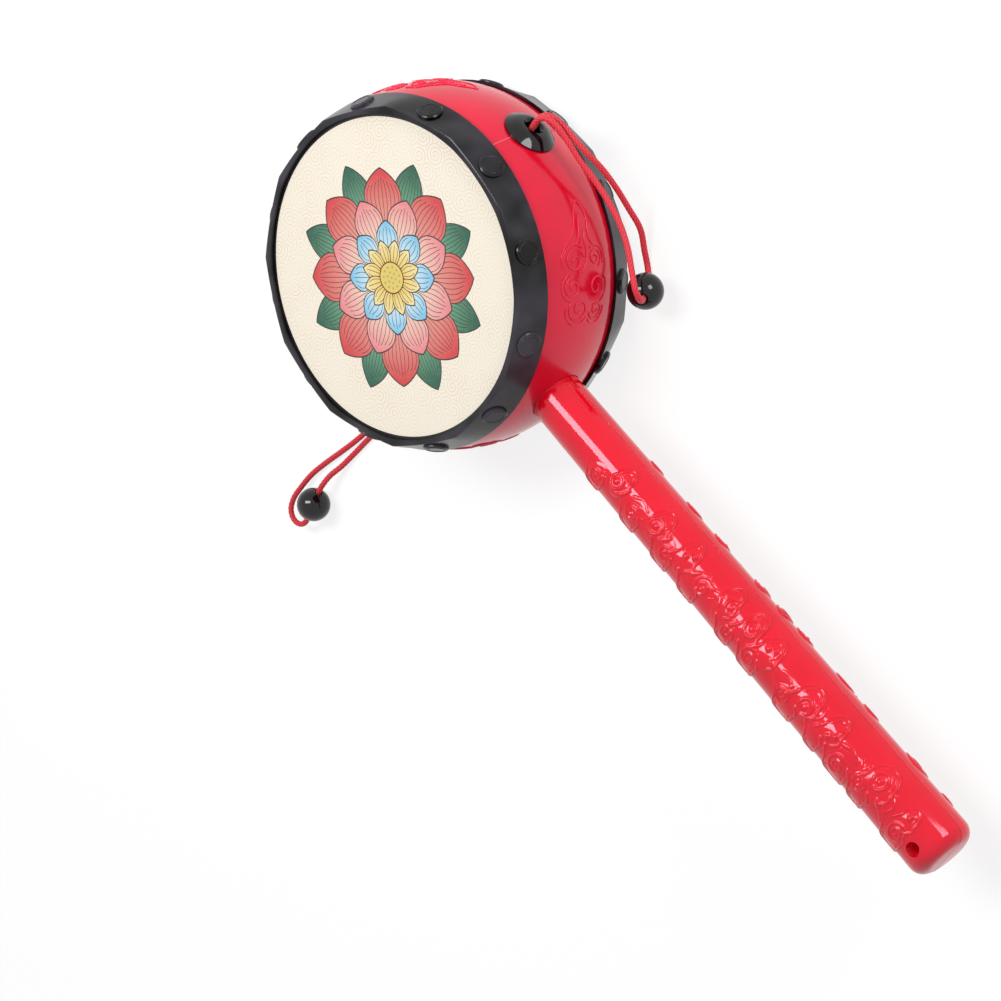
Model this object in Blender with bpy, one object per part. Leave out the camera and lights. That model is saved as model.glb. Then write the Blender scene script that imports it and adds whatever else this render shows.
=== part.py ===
"""Rattle drum: a hollow barrel drum on a hollow handle, with a bead on a looped cord at each side.

Metres, +Z up. The drum lies on its back rim with its front head up, and the handle points along -Y.
The sizes are measured from the drum's axis, and the whole is set down with its middle over the origin.
"""
import math

import bpy
from mathutils import Matrix, Vector
from mathutils.geometry import interpolate_bezier

MM = 0.001

# Clearances
FIT = 0.3 * MM                      # between pieces that touch
STRAND_GAP = 0.34 * MM              # between the two strands of a cord

# Drum shell
SHELL_BULGE_RADIUS = 59.0 * MM      # outside, at half depth
SHELL_SWELL = 3.0 * MM              # from its edge at the rims out to half depth
SHELL_SHOWN_WIDTH = 33.2 * MM       # between the two rims
SHELL_WALL = 2.0 * MM
SHELL_STEPS = 40                    # round each half
SHELL_ROWS = 13                     # across its depth

# Rims: hoops with a twelve-sided lip, and a stud in the middle of each side
RIM_DEPTH = 10.0 * MM               # from the shell's shown edge to the lip's face
RIM_STEP = 1.2 * MM                 # proud of the shell at that edge
RIM_TAPER = 2.6 * MM                # from the edge in to the lip's outer corners
RIM_LIP_WIDTH = 2.6 * MM            # from the outer corners to the inner ones
RIM_LIP_THICKNESS = 1.2 * MM
RIM_LIP_ROUND = 0.6 * MM
RIM_WALL = 1.0 * MM
RIM_WALL_BULGE = 0.15 * MM          # of the side wall, at its middle
RIM_SIDES = 12
RIM_CREASE_FLATNESS = 0.58          # of the lip's outer edge: 1 for straight sides, 0 for a circle
RIM_OPENING_FLATNESS = 0.12         # of its inner edge
RIM_STEPS_PER_SIDE = 8
STUD_RADIUS = 4.1 * MM
STUD_HEIGHT = 0.9 * MM              # proud of the rim's wall
STUD_ROUND = 0.35 * MM
STUD_STEPS = 16
STUD_INSET = 5.1 * MM               # from the lip's face to the stud's middle
FRONT_STUD_ANGLE = -7.0             # degrees from +X to a stud
BACK_STUD_ANGLE = 6.2

# Heads
HEAD_THICKNESS = 0.6 * MM
HEAD_STEPS = 96

# Handle
HANDLE_LENGTH = 189.9 * MM          # shown, from the shell to its end
HANDLE_NECK_RADIUS = 8.7 * MM
HANDLE_END_RADIUS = 10.75 * MM
HANDLE_END_ROUND = 4.5 * MM
HANDLE_WALL = 1.8 * MM
HANDLE_STEPS = 24                   # round each half
HANDLE_RINGS = 6                    # along it
HANDLE_END_STEPS = 6                # over the round of its end
FLANGE_RADIUS = 11.4 * MM
FLANGE_THICKNESS = 2.6 * MM
LANYARD_HOLE_RADIUS = 2.4 * MM
LANYARD_HOLE_INSET = 6.8 * MM       # from the handle's end
PEG_RADIUS = 1.4 * MM
PEG_REACH = 3.0 * MM                # past the joint
BOSS_RADIUS = 3.2 * MM
PEG_COUNT = 3
PEG_FIRST = 23.0 * MM               # from the shell
PEG_SPACING = 66.0 * MM
PEG_STEPS = 16
HOLE_STEPS = 24
CUTTER_TURN = 5.0                   # degrees, keeps the cutters' corners off the handle's own

# Grommets, one at each side of the drum
GROMMET_RADIUS = 8.6 * MM
GROMMET_HEIGHT = 2.8 * MM           # dome, above the shell
GROMMET_HOLE_RADIUS = 2.6 * MM
GROMMET_HOLE_ROUND = 0.94 * MM
GROMMET_EDGE = 0.4 * MM             # upright edge, under the dome
GROMMET_STEPS = 32
DOME_STEPS = 6
GROMMET_SLEEVE_RADIUS = 4.2 * MM
GROMMET_BARB = 1.0 * MM
GROMMET_BARB_LENGTH = 1.4 * MM

# Cords and beads
CORD_RADIUS = 0.95 * MM
CORD_STUB = 0.3 * MM                # shown outside the grommet before the free stretch
CORD_LEAD = 0.3 * MM                # straight run where the free stretch begins and ends
STRAND_STEPS = 8
ROUND_END_ANGLES = (80.0, 55.0, 28.0)
KNOT_RADIUS = 3.6 * MM
KNOT_STEPS = 20
KNOT_ARC_STEPS = 8                  # from pole to pole
TAIL_LENGTH = 9.0 * MM
TAIL_SPREAD = 35.0                  # degrees
BEAD_RADIUS = 5.9 * MM
BEAD_BORE_RADIUS = 1.35 * MM
BEAD_MOUTH_RADIUS = 1.75 * MM       # where the bore opens out
BEAD_MOUTH_DEPTH = 0.2 * MM
BEAD_STEPS = 28
BEAD_ARC_STEPS = 14
BORE_RUN = 1.1 * BEAD_RADIUS        # straight run of the cord each way from the bead's middle

# Each side's cord: the tilt of its pair of strands, the bead's middle, how far its underside is off the floor,
# its bore, and the way of each strand from the grommet to the bead, in millimetres out from the hinge,
# along the drum's Y and up from the floor. The right bead lies on its own strand
RIGHT = {
    "name": "right",
    "side": 1,
    "pair_tilt": 111.0,
    "bead": (-23.45, -55.2),
    "lift": 3.4,
    "bore": Vector((0.14, -0.52, 0.84)),
    "in": ((2.35, -0.95, 27.45), (3.75, -2.3, 27.1), (4.35, -4.15, 26.65), (4.25, -6.5, 26.05),
           (2.85, -11.05, 24.8), (-0.05, -17.8, 22.75), (-2.3, -24.7, 20.55), (-4.8, -32.3, 19.1),
           (-7.7, -39.8, 18.45), (-10.9, -46, 18.7), (-15.55, -53.25, 19.8), (-18.2, -57.2, 20.2),
           (-19.85, -58.8, 19.2), (-21.35, -59.4, 17.4)),
    "out": ((-24, -50.15, 2.25), (-22.6, -47.5, 1.2), (-18.75, -43.7, 2), (-13, -39.25, 4.15),
            (-8.65, -33.9, 7.8), (-3.9, -28.3, 12.35), (-0.05, -22.65, 16.8), (2.2, -17.4, 20.5),
            (3.55, -12.2, 22.5), (4.35, -6.4, 23.55), (4.4, -3.6, 24.25), (3.75, -1.6, 24.8),
            (2.3, -0.2, 25.3)),
}
LEFT = {
    "name": "left",
    "side": -1,
    "pair_tilt": 0.0,
    "bead": (64.65, 4.0),
    "lift": 0.1,
    "bore": Vector((-0.985, -0.17, 0.0)),
    "in": ((2.6, 1.2, 26.35), (4.6, 1.3, 25.35), (6.2, 1.4, 23.75), (7.5, 1.5, 21.4),
           (9.4, 1.75, 16.9), (11.4, 2.15, 11.95), (14.1, 2.65, 6.15), (17.1, 3.05, 3.3),
           (21.2, 3.55, 1.5), (27.2, 4.4, 1.1), (35.7, 6.35, 1.05), (44.55, 8.95, 1.05),
           (53.2, 11.6, 1.15), (60.55, 13.25, 1.85), (66.45, 13.45, 2.9), (72.8, 12.7, 4.2),
           (75.4, 11.3, 4.7), (76.8, 8.65, 5.2), (76.4, 5.7, 5.65), (74.4, 3.5, 5.95)),
    "out": ((52.35, 5.6, 4.5), (46.7, 4.85, 2.35), (40.6, 4.1, 1.3), (32.65, 2.9, 1.05),
            (24.5, 1.5, 1.15), (19.75, 0.8, 1.95), (16.1, 0.3, 4.05), (13.6, 0, 7.2),
            (11.1, -0.4, 13.65), (9.1, -0.75, 18.4), (7.4, -0.95, 21.9), (6, -1.05, 24.1),
            (4.4, -1.1, 25.6), (2.4, -1.1, 26.4)),
}
CORD_SPACING = 1.6 * 2 * CORD_RADIUS     # between the tube's points

# Worked out from the sizes above
RIM_EDGE_RADIUS = SHELL_BULGE_RADIUS - SHELL_SWELL + RIM_STEP
RIM_CREASE_RADIUS = RIM_EDGE_RADIUS - RIM_TAPER
RIM_OPENING_RADIUS = RIM_CREASE_RADIUS - RIM_LIP_WIDTH
RIM_HALF_DEPTH = SHELL_SHOWN_WIDTH / 2 + RIM_DEPTH
MIDDLE = RIM_HALF_DEPTH                  # drum's half depth is this far above the floor
SHELL_ARC = ((SHELL_SHOWN_WIDTH / 2) ** 2 + SHELL_SWELL ** 2) / (2 * SHELL_SWELL)
HANDLE_REACH = SHELL_BULGE_RADIUS + HANDLE_LENGTH
HEAD_OUTER = RIM_HALF_DEPTH - RIM_LIP_THICKNESS - FIT
SHELL_HALF_DEPTH = HEAD_OUTER - HEAD_THICKNESS - FIT
HOLE_IN_SHELL = HANDLE_NECK_RADIUS + FIT
GROMMET_TOP = SHELL_BULGE_RADIUS + GROMMET_HEIGHT
STUB_END = GROMMET_TOP + CORD_STUB
HINGE_OUT = STUB_END + FIT + CORD_RADIUS     # cord's round end swings clear of the stub
PAIR_OFFSET = CORD_RADIUS + STRAND_GAP / 2
DRUM_AXIS_Y = (HANDLE_REACH - SHELL_BULGE_RADIUS) / 2


def clear_scene():
    for thing in list(bpy.data.objects):
        bpy.data.objects.remove(thing, do_unlink=True)


def place_on_drum(thing):
    """Adds an object to the scene, carried by the empty at the foot of the drum's axis."""
    bpy.context.collection.objects.link(thing)
    thing.parent = bpy.data.objects["drum_axis"]


def add_drum_axis():
    axis = bpy.data.objects.new("drum_axis", None)
    axis.location = (0.0, DRUM_AXIS_Y, 0.0)
    bpy.context.collection.objects.link(axis)


def material(name, rgb, roughness):
    """A plastic, cord or film finish."""
    finish = bpy.data.materials.new(name)
    finish.use_nodes = True
    shader = finish.node_tree.nodes["Principled BSDF"]
    shader.inputs["Base Color"].default_value = (*rgb, 1.0)
    shader.inputs["Roughness"].default_value = roughness
    shader.inputs["Metallic"].default_value = 0.0
    return finish


def add_object(name, verts, faces, finish=None, origin=Vector()):
    """A mesh object facing outwards, with its origin at the given point."""
    mesh = bpy.data.meshes.new(name)
    mesh.from_pydata([Vector(v) - origin for v in verts], [], faces)
    mesh.validate()
    thing = bpy.data.objects.new(name, mesh)
    thing.location = origin
    place_on_drum(thing)
    if finish:
        mesh.materials.append(finish)
    for polygon in mesh.polygons:
        polygon.use_smooth = True
    return thing


def revolve(outline, steps, turn=360.0, start=0.0):
    """Turns a closed outline of (radius, height) about Z, with flat ends where it isn't a full turn.

    The outline runs anticlockwise with radius to the right and height up. A radius of 0 is on the axis.
    """
    full = turn >= 360.0
    count = steps if full else steps + 1
    verts, rings = [], []
    for radius, height in outline:
        if radius == 0.0:
            rings.append([len(verts)] * count)
            verts.append((0.0, 0.0, height))
            continue
        rings.append(list(range(len(verts), len(verts) + count)))
        for step in range(count):
            angle = math.radians(start + turn * step / steps)
            verts.append((radius * math.cos(angle), radius * math.sin(angle), height))
    faces = []
    for low, high in zip(rings, rings[1:] + rings[:1]):
        for step in range(steps):
            after = (step + 1) % count
            corners = [low[step], low[after], high[after], high[step]]
            corners = list(dict.fromkeys(corners))
            if len(corners) > 2:
                faces.append(corners)
    if not full:
        faces.append([ring[0] for ring in rings])
        faces.append([ring[-1] for ring in reversed(rings)])
    return verts, faces


def moved(shape, matrix):
    verts, faces = shape
    return [matrix @ Vector(v) for v in verts], faces


def joined(shapes):
    """Several closed shapes as one list of corners and faces."""
    verts, faces = [], []
    for part_verts, part_faces in shapes:
        first = len(verts)
        verts += part_verts
        faces += [[first + corner for corner in face] for face in part_faces]
    return verts, faces


def cylinder(radius, low, high, steps):
    return revolve([(0.0, low), (radius, low), (radius, high), (0.0, high)], steps)


def boolean(thing, operation, shape):
    """Cuts or joins a closed shape, which stays in the file as a wire."""
    tool = add_object(f"{thing.name}_{operation.lower()}_{len(thing.modifiers)}", *shape)
    tool.hide_render = True
    tool.display_type = "WIRE"
    change = thing.modifiers.new(operation.capitalize(), "BOOLEAN")
    change.operation = operation
    change.solver = "EXACT"
    change.object = tool


def arc_points(centre, radius, first, last, steps):
    """Points of an arc in the (radius, height) plane, from one angle to another in degrees."""
    angles = [math.radians(first + (last - first) * i / steps) for i in range(steps + 1)]
    return [(centre[0] + radius * math.cos(a), centre[1] + radius * math.sin(a)) for a in angles]


def shell_radius(height):
    """Outside of the barrel at a height from its middle."""
    return SHELL_BULGE_RADIUS - SHELL_ARC + math.sqrt(SHELL_ARC ** 2 - height ** 2)


def along_side(side):
    """Turns +Z to the grommet's outward direction at the drum's middle."""
    return Matrix.Translation((0.0, 0.0, MIDDLE)) @ Matrix.Rotation(side * math.pi / 2, 4, "Y")


def along_handle():
    """Turns +Z to the handle's outward direction at the drum's middle."""
    return Matrix.Translation((0.0, 0.0, MIDDLE)) @ Matrix.Rotation(math.pi / 2, 4, "X")


def shell_half(name, start, finish, holes):
    """Half of the barrel, split on the plane of the grommets."""
    heights = [SHELL_HALF_DEPTH * (2 * i / (SHELL_ROWS - 1) - 1) for i in range(SHELL_ROWS)]
    outer = [(shell_radius(h), MIDDLE + h) for h in heights]
    inner = [(shell_radius(h) - SHELL_WALL, MIDDLE + h) for h in reversed(heights[::2])]
    half_gap = math.degrees(FIT / 2 / SHELL_BULGE_RADIUS)
    shape = revolve(outer + inner, SHELL_STEPS, 180.0 - 2 * half_gap, start + half_gap)
    half = add_object(name, *shape, finish)
    for hole in holes:
        boolean(half, "DIFFERENCE", hole)
    return half


def build_shell(finish):
    reach = SHELL_BULGE_RADIUS + SHELL_WALL
    inside = SHELL_BULGE_RADIUS / 2
    sleeve = cylinder(GROMMET_SLEEVE_RADIUS + FIT, inside, reach, GROMMET_STEPS)
    grommet_holes = [moved(sleeve, along_side(side)) for side in (1, -1)]
    handle_hole = moved(cylinder(HOLE_IN_SHELL, inside, reach, 2 * HANDLE_STEPS), along_handle())
    shell_half("shell_crown_half", 0.0, finish, grommet_holes)
    shell_half("shell_handle_half", 180.0, finish, grommet_holes + [handle_hole])


def polygon_radius(corner_radius, flatness, angle):
    """Radius of the lip's rounded polygon, whose corners lie midway between the studs at angle 0."""
    side = 2 * math.pi / RIM_SIDES
    from_middle = (angle + side / 2) % side - side / 2
    straight = corner_radius * math.cos(side / 2) / math.cos(from_middle)
    return corner_radius + (straight - corner_radius) * flatness


def rim_section(angle):
    """The hoop's section at an angle from a stud, as (radius, height from the drum's middle)."""
    edge = SHELL_SHOWN_WIDTH / 2
    crease = polygon_radius(RIM_CREASE_RADIUS, RIM_CREASE_FLATNESS, angle)
    opening = polygon_radius(RIM_OPENING_RADIUS, RIM_OPENING_FLATNESS, angle)
    face = RIM_HALF_DEPTH
    lip_back = face - RIM_LIP_THICKNESS
    middle = (edge + lip_back) / 2
    outer_middle = (RIM_EDGE_RADIUS + crease) / 2 + RIM_WALL_BULGE
    corner = RIM_LIP_ROUND * (1 - math.sqrt(0.5))
    seat = max(shell_radius(SHELL_HALF_DEPTH), crease - RIM_WALL - FIT) + FIT
    return [
        (RIM_EDGE_RADIUS, edge),
        (outer_middle, middle),
        (crease, face - RIM_LIP_ROUND),
        (crease - corner, face - corner),
        (crease - RIM_LIP_ROUND, face),
        (opening, face),
        (opening, lip_back),
        (seat, lip_back),
        (max(shell_radius(middle) + FIT, seat), middle),
        (shell_radius(edge) + FIT, edge),
    ]


def rim_hoop():
    """The hoop round Z, lip up, with a stud's place at angle 0."""
    steps = RIM_SIDES * RIM_STEPS_PER_SIDE
    sections = [rim_section(2 * math.pi * i / steps) for i in range(steps)]
    size = len(sections[0])
    verts, faces = [], []
    for i, section in enumerate(sections):
        angle = 2 * math.pi * i / steps
        verts += [(r * math.cos(angle), r * math.sin(angle), h) for r, h in section]
        here, after = i * size, (i + 1) % steps * size
        for j in range(size):
            k = (j + 1) % size
            faces.append([here + j, after + j, after + k, here + k])
    return verts, faces


def stud_frame(angle):
    """Places +Z square to the rim's wall at a stud."""
    section = rim_section(0.0)
    (low_radius, low), (high_radius, high) = section[0], section[2]
    height = RIM_HALF_DEPTH - STUD_INSET
    radius = low_radius + (high_radius - low_radius) * (height - low) / (high - low)
    lean = math.atan2(low_radius - high_radius, high - low)
    place = Matrix.Translation((radius, 0.0, height)) @ Matrix.Rotation(math.pi / 2 - lean, 4, "Y")
    return Matrix.Rotation(angle, 4, "Z") @ place


def studs():
    """Flat round studs, one in the middle of each side, each let into the wall."""
    foot = -RIM_WALL / 2
    outline = [(0.0, foot), (STUD_RADIUS, foot), (STUD_RADIUS, STUD_HEIGHT - STUD_ROUND),
               (STUD_RADIUS - STUD_ROUND, STUD_HEIGHT), (0.0, STUD_HEIGHT)]
    disc = revolve(outline, STUD_STEPS)
    return joined([moved(disc, stud_frame(2 * math.pi * i / RIM_SIDES)) for i in range(RIM_SIDES)])


def build_rim(name, finish, stud_angle, flip):
    """A hoop on the front, or turned over onto the back."""
    place = Matrix.Translation((0.0, 0.0, MIDDLE)) @ Matrix.Rotation(math.radians(stud_angle), 4, "Z")
    if flip:
        place = place @ Matrix.Rotation(math.pi, 4, "X")
    rim = add_object(name, *moved(rim_hoop(), place), finish)
    boolean(rim, "UNION", moved(studs(), place))


def build_head(name, finish, side):
    """A flat head, held between the shell's edge and the rim's lip."""
    radius = rim_section(0.0)[7][0] - FIT
    near, far = sorted((MIDDLE + side * HEAD_OUTER, MIDDLE + side * (HEAD_OUTER - HEAD_THICKNESS)))
    add_object(name, *cylinder(radius, near, far, HEAD_STEPS), finish)


def handle_radius(out):
    """Outside of the tapered handle at a distance out from the drum's axis."""
    share = (out - SHELL_BULGE_RADIUS) / (HANDLE_REACH - SHELL_BULGE_RADIUS)
    return HANDLE_NECK_RADIUS + (HANDLE_END_RADIUS - HANDLE_NECK_RADIUS) * share


def handle_outline():
    """Half section of the hollow handle, as (radius, distance from the drum's axis)."""
    flange_top = math.sqrt((SHELL_BULGE_RADIUS - SHELL_WALL) ** 2 - FLANGE_RADIUS ** 2) - 2 * FIT
    flange_foot = flange_top - FLANGE_THICKNESS
    bore_neck = HANDLE_NECK_RADIUS - HANDLE_WALL
    bore_end = HANDLE_END_RADIUS - HANDLE_WALL
    cavity_end = HANDLE_REACH - HANDLE_WALL
    corner = (HANDLE_END_RADIUS - HANDLE_END_ROUND, HANDLE_REACH - HANDLE_END_ROUND)
    end = arc_points(corner, HANDLE_END_ROUND, 0.0, 90.0, HANDLE_END_STEPS)
    spacing = (corner[1] - SHELL_BULGE_RADIUS) / HANDLE_RINGS
    stations = [SHELL_BULGE_RADIUS + spacing * i for i in range(HANDLE_RINGS)]
    return [
        (bore_neck, flange_foot),
        (FLANGE_RADIUS, flange_foot),
        (FLANGE_RADIUS, flange_top),
        (HANDLE_NECK_RADIUS, flange_top),
        *[(handle_radius(out), out) for out in stations],
        *end,
        (0.0, HANDLE_REACH),
        (0.0, cavity_end),
        (bore_end - HANDLE_END_ROUND / 2, cavity_end),
        (bore_end, cavity_end - HANDLE_END_ROUND / 2),
        *[(handle_radius(out) - HANDLE_WALL, out) for out in reversed(stations)],
    ]


def joint_post(out, side):
    """A post from the handle's wall to the joint. The front one ends in a peg, the back one in a socket."""
    if side > 0:
        radius, depth = PEG_RADIUS, -PEG_REACH
    else:
        radius, depth = PEG_RADIUS + FIT, PEG_REACH + 2 * FIT
    wall_middle = handle_radius(out) - HANDLE_WALL / 2
    outline = [(0.0, depth), (radius, depth), (radius, FIT / 2), (BOSS_RADIUS, FIT / 2),
               (BOSS_RADIUS, wall_middle), (0.0, wall_middle)]
    return revolve(outline, PEG_STEPS)


def handle_half(name, finish, side):
    """The front half has side 1 and the back half -1. The halves meet on the plane of the handle's axis."""
    start = 0.0 if side > 0 else 180.0
    shape = moved(revolve(handle_outline(), HANDLE_STEPS, 180.0, start), along_handle())
    half = add_object(name, *moved(shape, Matrix.Translation((0.0, 0.0, side * FIT / 2))), finish)
    turn = Matrix.Rotation(math.radians(CUTTER_TURN), 4, "Z")
    upright = Matrix.Rotation(math.radians(start), 4, "X") @ turn
    hole = cylinder(LANYARD_HOLE_RADIUS, HANDLE_END_RADIUS / 3, 2 * HANDLE_END_RADIUS, HOLE_STEPS)
    hole_place = Matrix.Translation((0.0, LANYARD_HOLE_INSET - HANDLE_REACH, MIDDLE)) @ upright
    boolean(half, "DIFFERENCE", moved(hole, hole_place))
    posts = []
    for i in range(PEG_COUNT):
        out = SHELL_BULGE_RADIUS + PEG_FIRST + PEG_SPACING * i
        posts.append(moved(joint_post(out, side), Matrix.Translation((0.0, -out, MIDDLE)) @ upright))
    boolean(half, "UNION", joined(posts))


def build_grommet(name, finish, side):
    """A domed eyelet with a sleeve through the shell and a barb behind its wall."""
    rim_drop = SHELL_BULGE_RADIUS - math.sqrt(SHELL_BULGE_RADIUS ** 2 - GROMMET_RADIUS ** 2)
    seat = SHELL_BULGE_RADIUS + FIT
    skirt = seat - rim_drop
    barb_top = SHELL_BULGE_RADIUS - SHELL_WALL - 2 * FIT
    barb_radius = GROMMET_SLEEVE_RADIUS + GROMMET_BARB
    dome_foot = skirt + GROMMET_EDGE
    dome_inset = GROMMET_RADIUS - GROMMET_HOLE_RADIUS - GROMMET_HOLE_ROUND
    dome = []
    for i in range(DOME_STEPS + 1):
        share = i / DOME_STEPS
        height = (GROMMET_TOP - dome_foot) * math.sin(share * math.pi / 2)
        dome.append((GROMMET_RADIUS - dome_inset * share, dome_foot + height))
    outline = [
        (GROMMET_HOLE_RADIUS, barb_top - GROMMET_BARB_LENGTH),
        (GROMMET_SLEEVE_RADIUS, barb_top - GROMMET_BARB_LENGTH),
        (barb_radius, barb_top),
        (GROMMET_SLEEVE_RADIUS, barb_top),
        (GROMMET_SLEEVE_RADIUS, seat),
        (GROMMET_RADIUS, skirt),
        *dome,
        (GROMMET_HOLE_RADIUS, GROMMET_TOP - GROMMET_HOLE_ROUND),
    ]
    add_object(name, *moved(revolve(outline, GROMMET_STEPS), along_side(side)), finish)


def strand_ends(cord, out):
    """The two strands of a cord at a distance out from the drum's axis, the ingoing one first."""
    tilt = math.radians(cord["pair_tilt"])
    offset = Vector((0.0, math.cos(tilt), math.sin(tilt))) * PAIR_OFFSET
    middle = Vector((cord["side"] * out, 0.0, MIDDLE))
    return middle + offset, middle - offset


def build_knot(cord, finish):
    """The stopper knot inside the drum, its two tails and the two strands out through the grommet."""
    barb_foot = SHELL_BULGE_RADIUS - SHELL_WALL - 2 * FIT - GROMMET_BARB_LENGTH
    seat = math.sqrt(KNOT_RADIUS ** 2 - GROMMET_HOLE_RADIUS ** 2)
    middle = barb_foot - seat - FIT
    place = along_side(cord["side"])
    side_arc = arc_points((0.0, 0.0), KNOT_RADIUS, -90.0, 90.0, KNOT_ARC_STEPS)[1:-1]
    ball = revolve([(0.0, -KNOT_RADIUS), *side_arc, (0.0, KNOT_RADIUS)], KNOT_STEPS)
    ball = moved(ball, place @ Matrix.Translation((0.0, 0.0, middle)))
    knot = add_object(f"{cord['name']}_cord_knot", *ball, finish)
    turn = Matrix.Rotation(math.radians(CUTTER_TURN), 4, "Z")
    strand = moved(cylinder(CORD_RADIUS, middle, STUB_END, STRAND_STEPS), turn)
    tail = moved(cylinder(CORD_RADIUS, KNOT_RADIUS / 2, TAIL_LENGTH, STRAND_STEPS), turn)
    strands = []
    for end in strand_ends(cord, 0.0):
        strands.append(moved(strand, Matrix.Translation(end - Vector((0.0, 0.0, MIDDLE))) @ place))
    for spread in (1, -1):
        lean = Matrix.Rotation(math.pi + spread * math.radians(TAIL_SPREAD), 4, "X")
        strands.append(moved(tail, place @ Matrix.Translation((0.0, 0.0, middle)) @ lean))
    boolean(knot, "UNION", joined(strands))


def heading(points, i):
    """The curve's direction at a point: the shorter of its two sides counts for more."""
    if i in (0, len(points) - 1):
        return (points[min(i + 1, len(points) - 1)] - points[max(i - 1, 0)]).normalized()
    before, after = points[i] - points[i - 1], points[i + 1] - points[i]
    return (before.normalized() * after.length + after.normalized() * before.length).normalized()


def smooth_route(points, spacing):
    """Points at an even spacing on a smooth curve through the given points."""
    dense = []
    for i in range(len(points) - 1):
        here, there = points[i], points[i + 1]
        reach = (there - here).length / 3
        leave = here + heading(points, i) * reach
        arrive = there - heading(points, i + 1) * reach
        dense += interpolate_bezier(here, leave, arrive, there, 17)[:-1]
    dense.append(points[-1])
    total = sum((b - a).length for a, b in zip(dense, dense[1:]))
    count = max(2, round(total / spacing))
    route, walked, goal = [dense[0]], 0.0, total / count
    for a, b in zip(dense, dense[1:]):
        step = (b - a).length
        while walked + step >= goal and len(route) < count:
            route.append(a.lerp(b, (goal - walked) / step))
            goal += total / count
        walked += step
    route.append(dense[-1])
    return route


def from_hinge(cord, out, along, height):
    """A point given out from the cord's hinge and along the drum's Y, in millimetres, and by its height."""
    return Vector((cord["side"] * (HINGE_OUT + out * MM), along * MM, height))


def bead_middle(cord):
    return from_hinge(cord, *cord["bead"], BEAD_RADIUS + cord["lift"] * MM)


def cord_points(cord):
    """The loop's own points: out along one strand, through the bead and back along the other."""
    bead, bore = bead_middle(cord), cord["bore"].normalized()
    leaving, returning = strand_ends(cord, HINGE_OUT)
    led_out, led_in = strand_ends(cord, HINGE_OUT + CORD_LEAD)
    inward = [from_hinge(cord, out, along, up * MM) for out, along, up in cord["in"]]
    outward = [from_hinge(cord, out, along, up * MM) for out, along, up in cord["out"]]
    through = [bead + bore * BORE_RUN * share for share in (1.0, 0.5, -0.5, -1.0)]
    return [leaving, led_out, *inward, *through, *outward, led_in, returning]


def round_end(cord, end):
    """Points and widths of a strand's round end, from its tip to the full width at the hinge."""
    inward = Vector((-cord["side"], 0.0, 0.0)) * CORD_RADIUS
    angles = [math.radians(a) for a in ROUND_END_ANGLES]
    return [(end + inward * math.sin(a), math.cos(a)) for a in angles]


def build_cord(cord, finish):
    """The free stretch of the cord, a loop through the bead's bore, with its origin on its hinge."""
    name = f"{cord['name']}_cord"
    hinge = Vector((cord["side"] * HINGE_OUT, 0.0, MIDDLE))
    route = smooth_route(cord_points(cord), CORD_SPACING)
    start, finish_end = round_end(cord, route[0]), round_end(cord, route[-1])
    stations = [*start, *[(place, 1.0) for place in route], *reversed(finish_end)]
    curve = bpy.data.curves.new(name, "CURVE")
    curve.dimensions = "3D"
    curve.bevel_depth = CORD_RADIUS
    curve.bevel_resolution = 2
    curve.use_fill_caps = True
    spline = curve.splines.new("POLY")
    spline.points.add(len(stations) - 1)
    for point, (place, width) in zip(spline.points, stations):
        point.co = (*(place - hinge), 1.0)
        point.radius = width
    curve.materials.append(finish)
    tube = bpy.data.objects.new(name, curve)
    tube.location = hinge
    place_on_drum(tube)


def build_bead(cord, finish):
    """A round bead with its bore along the cord."""
    top = math.degrees(math.acos(BEAD_MOUTH_RADIUS / BEAD_RADIUS))
    outline = arc_points((0.0, 0.0), BEAD_RADIUS, -top, top, BEAD_ARC_STEPS)
    half_bore = outline[-1][1] - BEAD_MOUTH_DEPTH
    outline += [(BEAD_BORE_RADIUS, half_bore), (BEAD_BORE_RADIUS, -half_bore)]
    turn = cord["bore"].to_track_quat("Z", "Y").to_matrix().to_4x4()
    middle = bead_middle(cord)
    ball = moved(revolve(outline, BEAD_STEPS), Matrix.Translation(middle) @ turn)
    add_object(f"{cord['name']}_bead", *ball, finish, middle)


def build():
    clear_scene()
    add_drum_axis()
    shell_red = material("shell_red_plastic", (0.60, 0.017, 0.030), 0.22)
    handle_red = material("handle_red_plastic", (0.76, 0.022, 0.040), 0.20)
    rim_black = material("rim_black_plastic", (0.022, 0.020, 0.024), 0.42)
    gloss_black = material("bead_black_plastic", (0.012, 0.011, 0.014), 0.12)
    head_cream = material("head_cream_film", (0.92, 0.83, 0.70), 0.40)
    cord_red = material("cord_red_braid", (0.66, 0.030, 0.045), 0.75)
    build_shell(shell_red)
    build_rim("front_rim", rim_black, FRONT_STUD_ANGLE, False)
    build_rim("back_rim", rim_black, BACK_STUD_ANGLE, True)
    build_head("front_head", head_cream, 1)
    build_head("back_head", head_cream, -1)
    handle_half("handle_front_half", handle_red, 1)
    handle_half("handle_back_half", handle_red, -1)
    for cord in (LEFT, RIGHT):
        build_grommet(f"{cord['name']}_grommet", gloss_black, cord["side"])
        build_knot(cord, cord_red)
        build_cord(cord, cord_red)
        build_bead(cord, gloss_black)


build()
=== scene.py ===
"""Rattle drum, dressed: moulded red barrel and handle, black rims, printed heads, braided cords and beads."""

import math

import bpy
import numpy as np
from mathutils import Matrix, Vector
from mathutils.geometry import delaunay_2d_cdt, interpolate_bezier


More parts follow.
